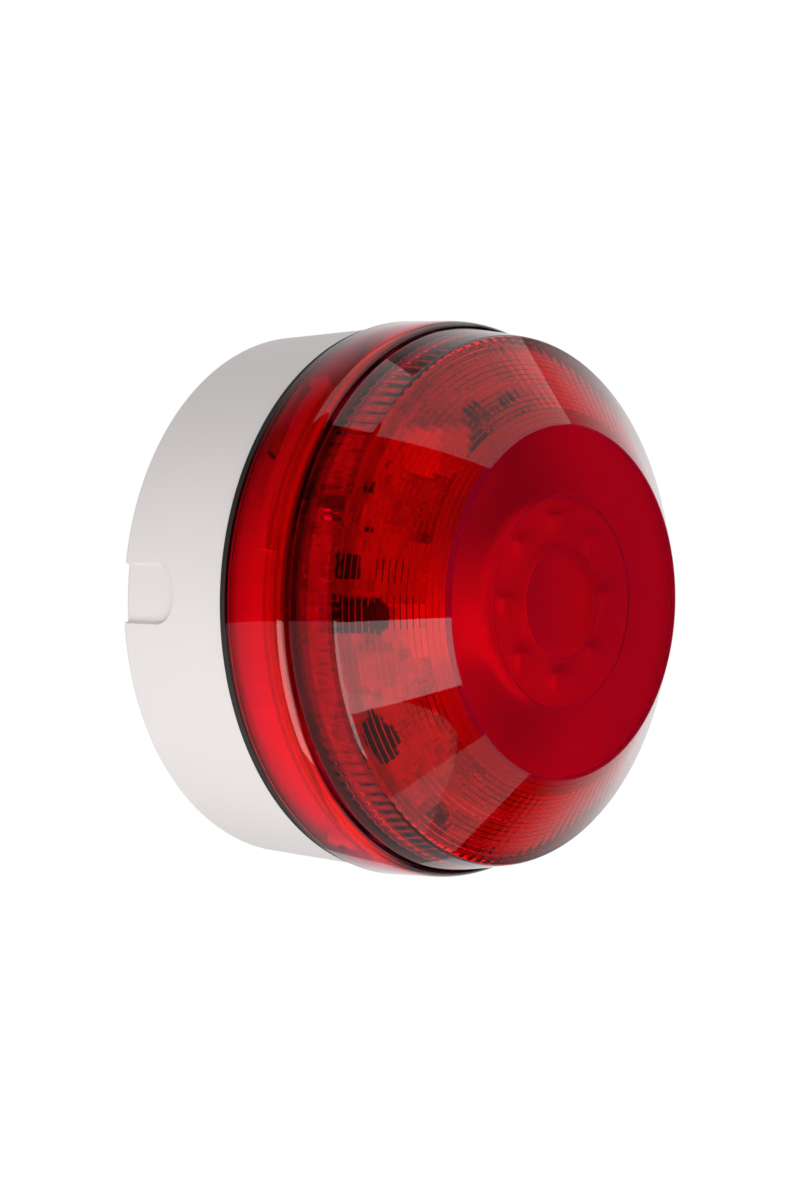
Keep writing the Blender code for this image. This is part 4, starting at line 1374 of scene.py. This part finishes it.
@dataclass
class Leds:
    """All LEDs: a white housing with a disc of phosphor on it and one tinned block for its feet."""

    finishes: Finishes
    blocks: CopyTree
    discs: CopyTree
    most_side: float = 3.2 * MM
    side_to_height: float = 2.2
    feet_rise: float = 0.12 * MM
    phosphor_rise: float = 0.1 * MM
    height: float = field(init=False)

    def __post_init__(self) -> None:
        """Reads an LED's height from the frame."""
        rear, front = depth_range("top_led_1")
        self.height = front - rear

    def spots(self) -> tuple[list[str], list[Spot]]:
        """Where the LEDs stand and which way they face.

        Returns:
            Names of their nodes, and the spots at their rear faces.
        """
        names = [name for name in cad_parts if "_led_" in name]
        found = []
        for name in names:
            centre = centre_of(name)
            facing = Vector((centre.x, 0, centre.z)).normalized()
            if name.startswith("top"):
                facing = Vector((0, -1, 0))
            turn = facing.to_track_quat("Z", "Y").to_euler()
            found.append(Spot(centre - facing * self.height / 2, turn))
        return names, found

    def build(self) -> list[bpy.types.Object]:
        """Builds the housings, phosphor discs and feet.

        Returns:
            The pieces.
        """
        names, spots = self.spots()
        f = self.finishes
        side, low = min(self.most_side, self.height * self.side_to_height), self.feet_rise
        body = self.height - low
        housing = (side, side * 0.86, body, low + body / 2)
        phosphor = (side * 0.66, 0, self.phosphor_rise, self.height)
        feet = (side * 1.08, side * 0.6, 2 * low, low)
        made = [
            self.blocks.stand("led_housings", spots, housing, f.led),
            self.discs.stand("led_phosphor", spots, phosphor, f.phosphor),
            self.blocks.stand("led_feet", spots, feet, f.copper),
        ]
        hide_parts(*names)
        for piece in made:
            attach(piece, Body.BASE.value)
        return made


# ------------------------------------------------------------------------------------------------
# Frame nodes that keep their shape
# ------------------------------------------------------------------------------------------------


@dataclass
class CarriedNodes:
    """Frame nodes whose shape is right: each gets its finish."""

    finishes: Finishes

    def finish_of(self, node: str) -> bpy.types.Material:
        """The finish of a frame node.

        Args:
            node: Its name.

        Returns:
            Its material.
        """
        f = self.finishes
        by_name = {
            "lens": f.lens,
            "mounting_base": f.base,
            "chassis": f.chassis,
            "seal_ring": f.rubber,
            "cable_grommet": f.rubber,
            "power_inductor": f.drum,
            "horn_transformer": f.tape,
            "piezo_diaphragm": f.brass,
            "terminal_block": f.green,
            "mode_switch": f.blue,
            "volume_trimmer": f.blue,
            "volume_rotor": f.white,
            "centre_optic": f.led,
            "horn_lead_red": f.red_wire,
            "horn_lead_black": f.black_wire,
        }
        by_part_of_name = {
            "_board": f.mask,
            "screw": f.steel,
            "capacitor": f.sleeve,
            "mode_slider": f.white,
            "_led_": f.led,
        }
        for part, material in by_part_of_name.items():
            if part in node:
                return material
        return by_name.get(node, f.epoxy)

    def dress(self) -> None:
        """Gives every frame node its finish."""
        for name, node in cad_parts.items():
            material = self.finish_of(name)
            for slot in node.material_slots:
                slot.material = material


# ------------------------------------------------------------------------------------------------
# Studio
# ------------------------------------------------------------------------------------------------


def area_lamp(name: str, width: float, height: float, radiance: float) -> bpy.types.Object:
    """A rectangular lamp that the camera can't see.

    Args:
        name: Its name.
        width: Its width.
        height: Its height.
        radiance: Its brightness, where 1 lights a surface that it surrounds to its own colour.

    Returns:
        The lamp, at the origin and facing down.
    """
    lamp = bpy.data.lights.new(name, "AREA")
    lamp.shape = "RECTANGLE"
    lamp.size, lamp.size_y = width, height
    lamp.energy = radiance * math.pi * width * height
    made = put(name, lamp)
    made.visible_camera = False
    return made


@dataclass(frozen=True)
class Softbox:
    """A rectangular studio lamp, placed by the direction in which the strobe sees it."""

    name: str
    azimuth: float
    elevation: float
    width: float
    height: float
    radiance: float
    distance: float = 1.0
    glossy: bool = True

    def build(self, centre: Vector) -> bpy.types.Object:
        """Makes the lamp, facing the strobe.

        Args:
            centre: What it faces.

        Returns:
            The lamp.
        """
        made = area_lamp(self.name, self.width, self.height, self.radiance)
        away = direction(self.azimuth, self.elevation)
        made.location = centre + away * self.distance
        made.rotation_euler = (-away).to_track_quat("-Z", "Y").to_euler()
        made.visible_glossy = self.glossy
        return made


@dataclass
class Studio:
    """Camera, lamps, white surroundings and a pale floor."""

    camera_azimuth: float = -49.62
    camera_elevation: float = 2.75
    camera_roll: float = -0.68
    camera_distance: float = 1.2348
    focal_length: float = 208.9
    aim_depth: float = 24.3 * MM
    aim_drop: float = 0.43 * MM
    floor_drop: float = 1.3
    floor_radius: float = 6.6
    floor_sides: int = 96
    floor_middle: tuple[float, float] = (-4.6, 3.9)
    floor_shades: tuple[float, float] = (0.42, 0.46)
    floor_glow: float = 0.9
    softboxes: tuple[Softbox, ...] = (
        Softbox("low_left_front", -37.0, -20.0, 0.47, 0.51, 1.75),
        Softbox("low_left_main", -74.0, -32.0, 0.80, 0.98, 2.7),
        Softbox("under_softbox", 28.0, -66.0, 0.62, 0.50, 0.45),
        Softbox("under_left_softbox", -105.0, -45.0, 0.80, 0.70, 0.55, glossy=False),
    )
    ceiling_height: float = 1.0
    ceiling_x: tuple[float, float] = (-0.30, 1.40)
    ceiling_y: tuple[float, float] = (-0.77, 0.62)
    ceiling_radiance: float = 0.66
    room: Colour = (0.66, 0.65, 0.65)
    room_in_gloss: Colour = (0.012, 0.012, 0.012)
    white_from: float = 0.35
    white_to: float = 1.25

    def build(self) -> None:
        """Sets up the whole studio."""
        self.build_camera()
        centre = Vector((0, -self.aim_depth, 0))
        for softbox in self.softboxes:
            softbox.build(centre)
        self.build_ceiling()
        self.build_floor()
        self.build_world()
        bpy.context.scene.view_settings.view_transform = "Standard"

    def away(self) -> Vector:
        """Direction from the strobe to the camera."""
        return direction(self.camera_azimuth, self.camera_elevation)

    def build_camera(self) -> None:
        """A long lens at the strobe's left front, a little above its middle."""
        camera = bpy.data.cameras.new("camera")
        camera.lens = self.focal_length
        camera.sensor_width = 36.0
        camera.clip_start = 0.05
        camera.clip_end = 50.0
        made = put("camera", camera)
        aim = Vector((0, -self.aim_depth, -self.aim_drop))
        made.location = aim + self.away() * self.camera_distance
        look = (-self.away()).to_track_quat("-Z", "Y").to_matrix()
        roll = Matrix.Rotation(math.radians(self.camera_roll), 3, "Z")
        made.rotation_euler = (look @ roll).to_euler()
        bpy.context.scene.camera = made

    def build_ceiling(self) -> None:
        """A large level softbox overhead, which only shows in glossy surfaces."""
        (left, right), (front, back) = self.ceiling_x, self.ceiling_y
        made = area_lamp("ceiling_softbox", right - left, back - front, self.ceiling_radiance)
        made.location = ((left + right) / 2, (front + back) / 2, self.ceiling_height)
        made.visible_diffuse = False

    def build_floor(self) -> None:
        """A round pale floor that shows white and keeps a shadow."""
        s = Shader("pale_floor")
        noise = s.node("ShaderNodeTexNoise")
        s.feed_named(noise, Vector=s.node("ShaderNodeTexCoord").outputs["Object"], Scale=3.0)
        ramp = s.node("ShaderNodeValToRGB")
        for point, shade in zip(ramp.color_ramp.elements, self.floor_shades):
            point.color = (shade, shade, shade, 1.0)
        s.link(noise.outputs["Fac"], ramp.inputs["Fac"])
        path = s.node("ShaderNodeLightPath").outputs
        seen = s.math("MAXIMUM", path["Is Camera Ray"], path["Is Transmission Ray"])
        glow = s.math("MULTIPLY", seen, self.floor_glow)
        s.surface(Base_Color=ramp.outputs["Color"], Roughness=0.8)
        s.surface(Emission_Color=(1.0, 1.0, 1.0), Emission_Strength=glow)
        angles = np.arange(self.floor_sides) * math.tau / self.floor_sides
        shape = bmesh.new()
        points = np.stack([np.cos(angles), np.sin(angles)], axis=1) * self.floor_radius
        points += self.floor_middle
        shape.faces.new([shape.verts.new((x, y, -self.floor_drop)) for x, y in points])
        floor = MeshBuilder.from_bmesh("floor", shape, s.material)

    def build_world(self) -> None:
        """White surroundings behind the strobe, and a dim room on the camera's side."""
        world = bpy.data.worlds.new("surroundings")
        world.use_nodes = True
        bpy.context.scene.world = world
        w = NodeBuilder(world.node_tree)
        dot = w.node("ShaderNodeVectorMath", operation="DOT_PRODUCT")
        w.link(w.node("ShaderNodeTexCoord").outputs["Generated"], dot.inputs[0])
        dot.inputs[1].default_value = -self.away()
        behind = w.node("ShaderNodeMapRange", interpolation_type="SMOOTHSTEP")
        w.feed_named(behind, Value=dot.outputs["Value"], From_Min=self.white_from, From_Max=self.white_to)
        path = w.node("ShaderNodeLightPath").outputs
        shown = w.math("MAXIMUM", path["Is Glossy Ray"], path["Is Transmission Ray"])
        shown = w.math("MULTIPLY", shown, behind.outputs["Result"])
        shown = w.math("MAXIMUM", shown, path["Is Camera Ray"])
        dim = w.mix(path["Is Glossy Ray"], self.room, self.room_in_gloss)
        colour = w.mix(shown, dim, (1.0, 1.0, 1.0))
        w.feed_named(w.tree.nodes["Background"], Color=colour, Strength=1.0)


# ------------------------------------------------------------------------------------------------
# Main
# ------------------------------------------------------------------------------------------------


def corners(box: tuple[Vector, Vector]) -> list[list[float]]:
    """A box's two corners as plain lists."""
    return [[float(value) for value in corner] for corner in box]


def report(pieces: Iterable[bpy.types.Object]) -> None:
    """Says how large each piece is."""
    for piece in pieces:
        LOG.info("%s: %d faces", piece.name, len(piece.data.polygons))


def main() -> None:
    """Builds the studio and every piece, and logs how many faces each piece has."""
    logging.basicConfig(level=logging.INFO, format="%(message)s")
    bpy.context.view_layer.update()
    finishes = Finishes()
    Studio().build()
    CarriedNodes(finishes).dress()
    report(Base(finishes).build())
    report(Lens(finishes).build())
    blocks, discs = CopyTree(Form.BLOCK), CopyTree(Form.DISC)
    report(BoardParts(finishes, blocks).build())
    report(Leds(finishes, blocks, discs).build())
    bpy.context.view_layer.update()


if __name__ == "__main__":
    main()
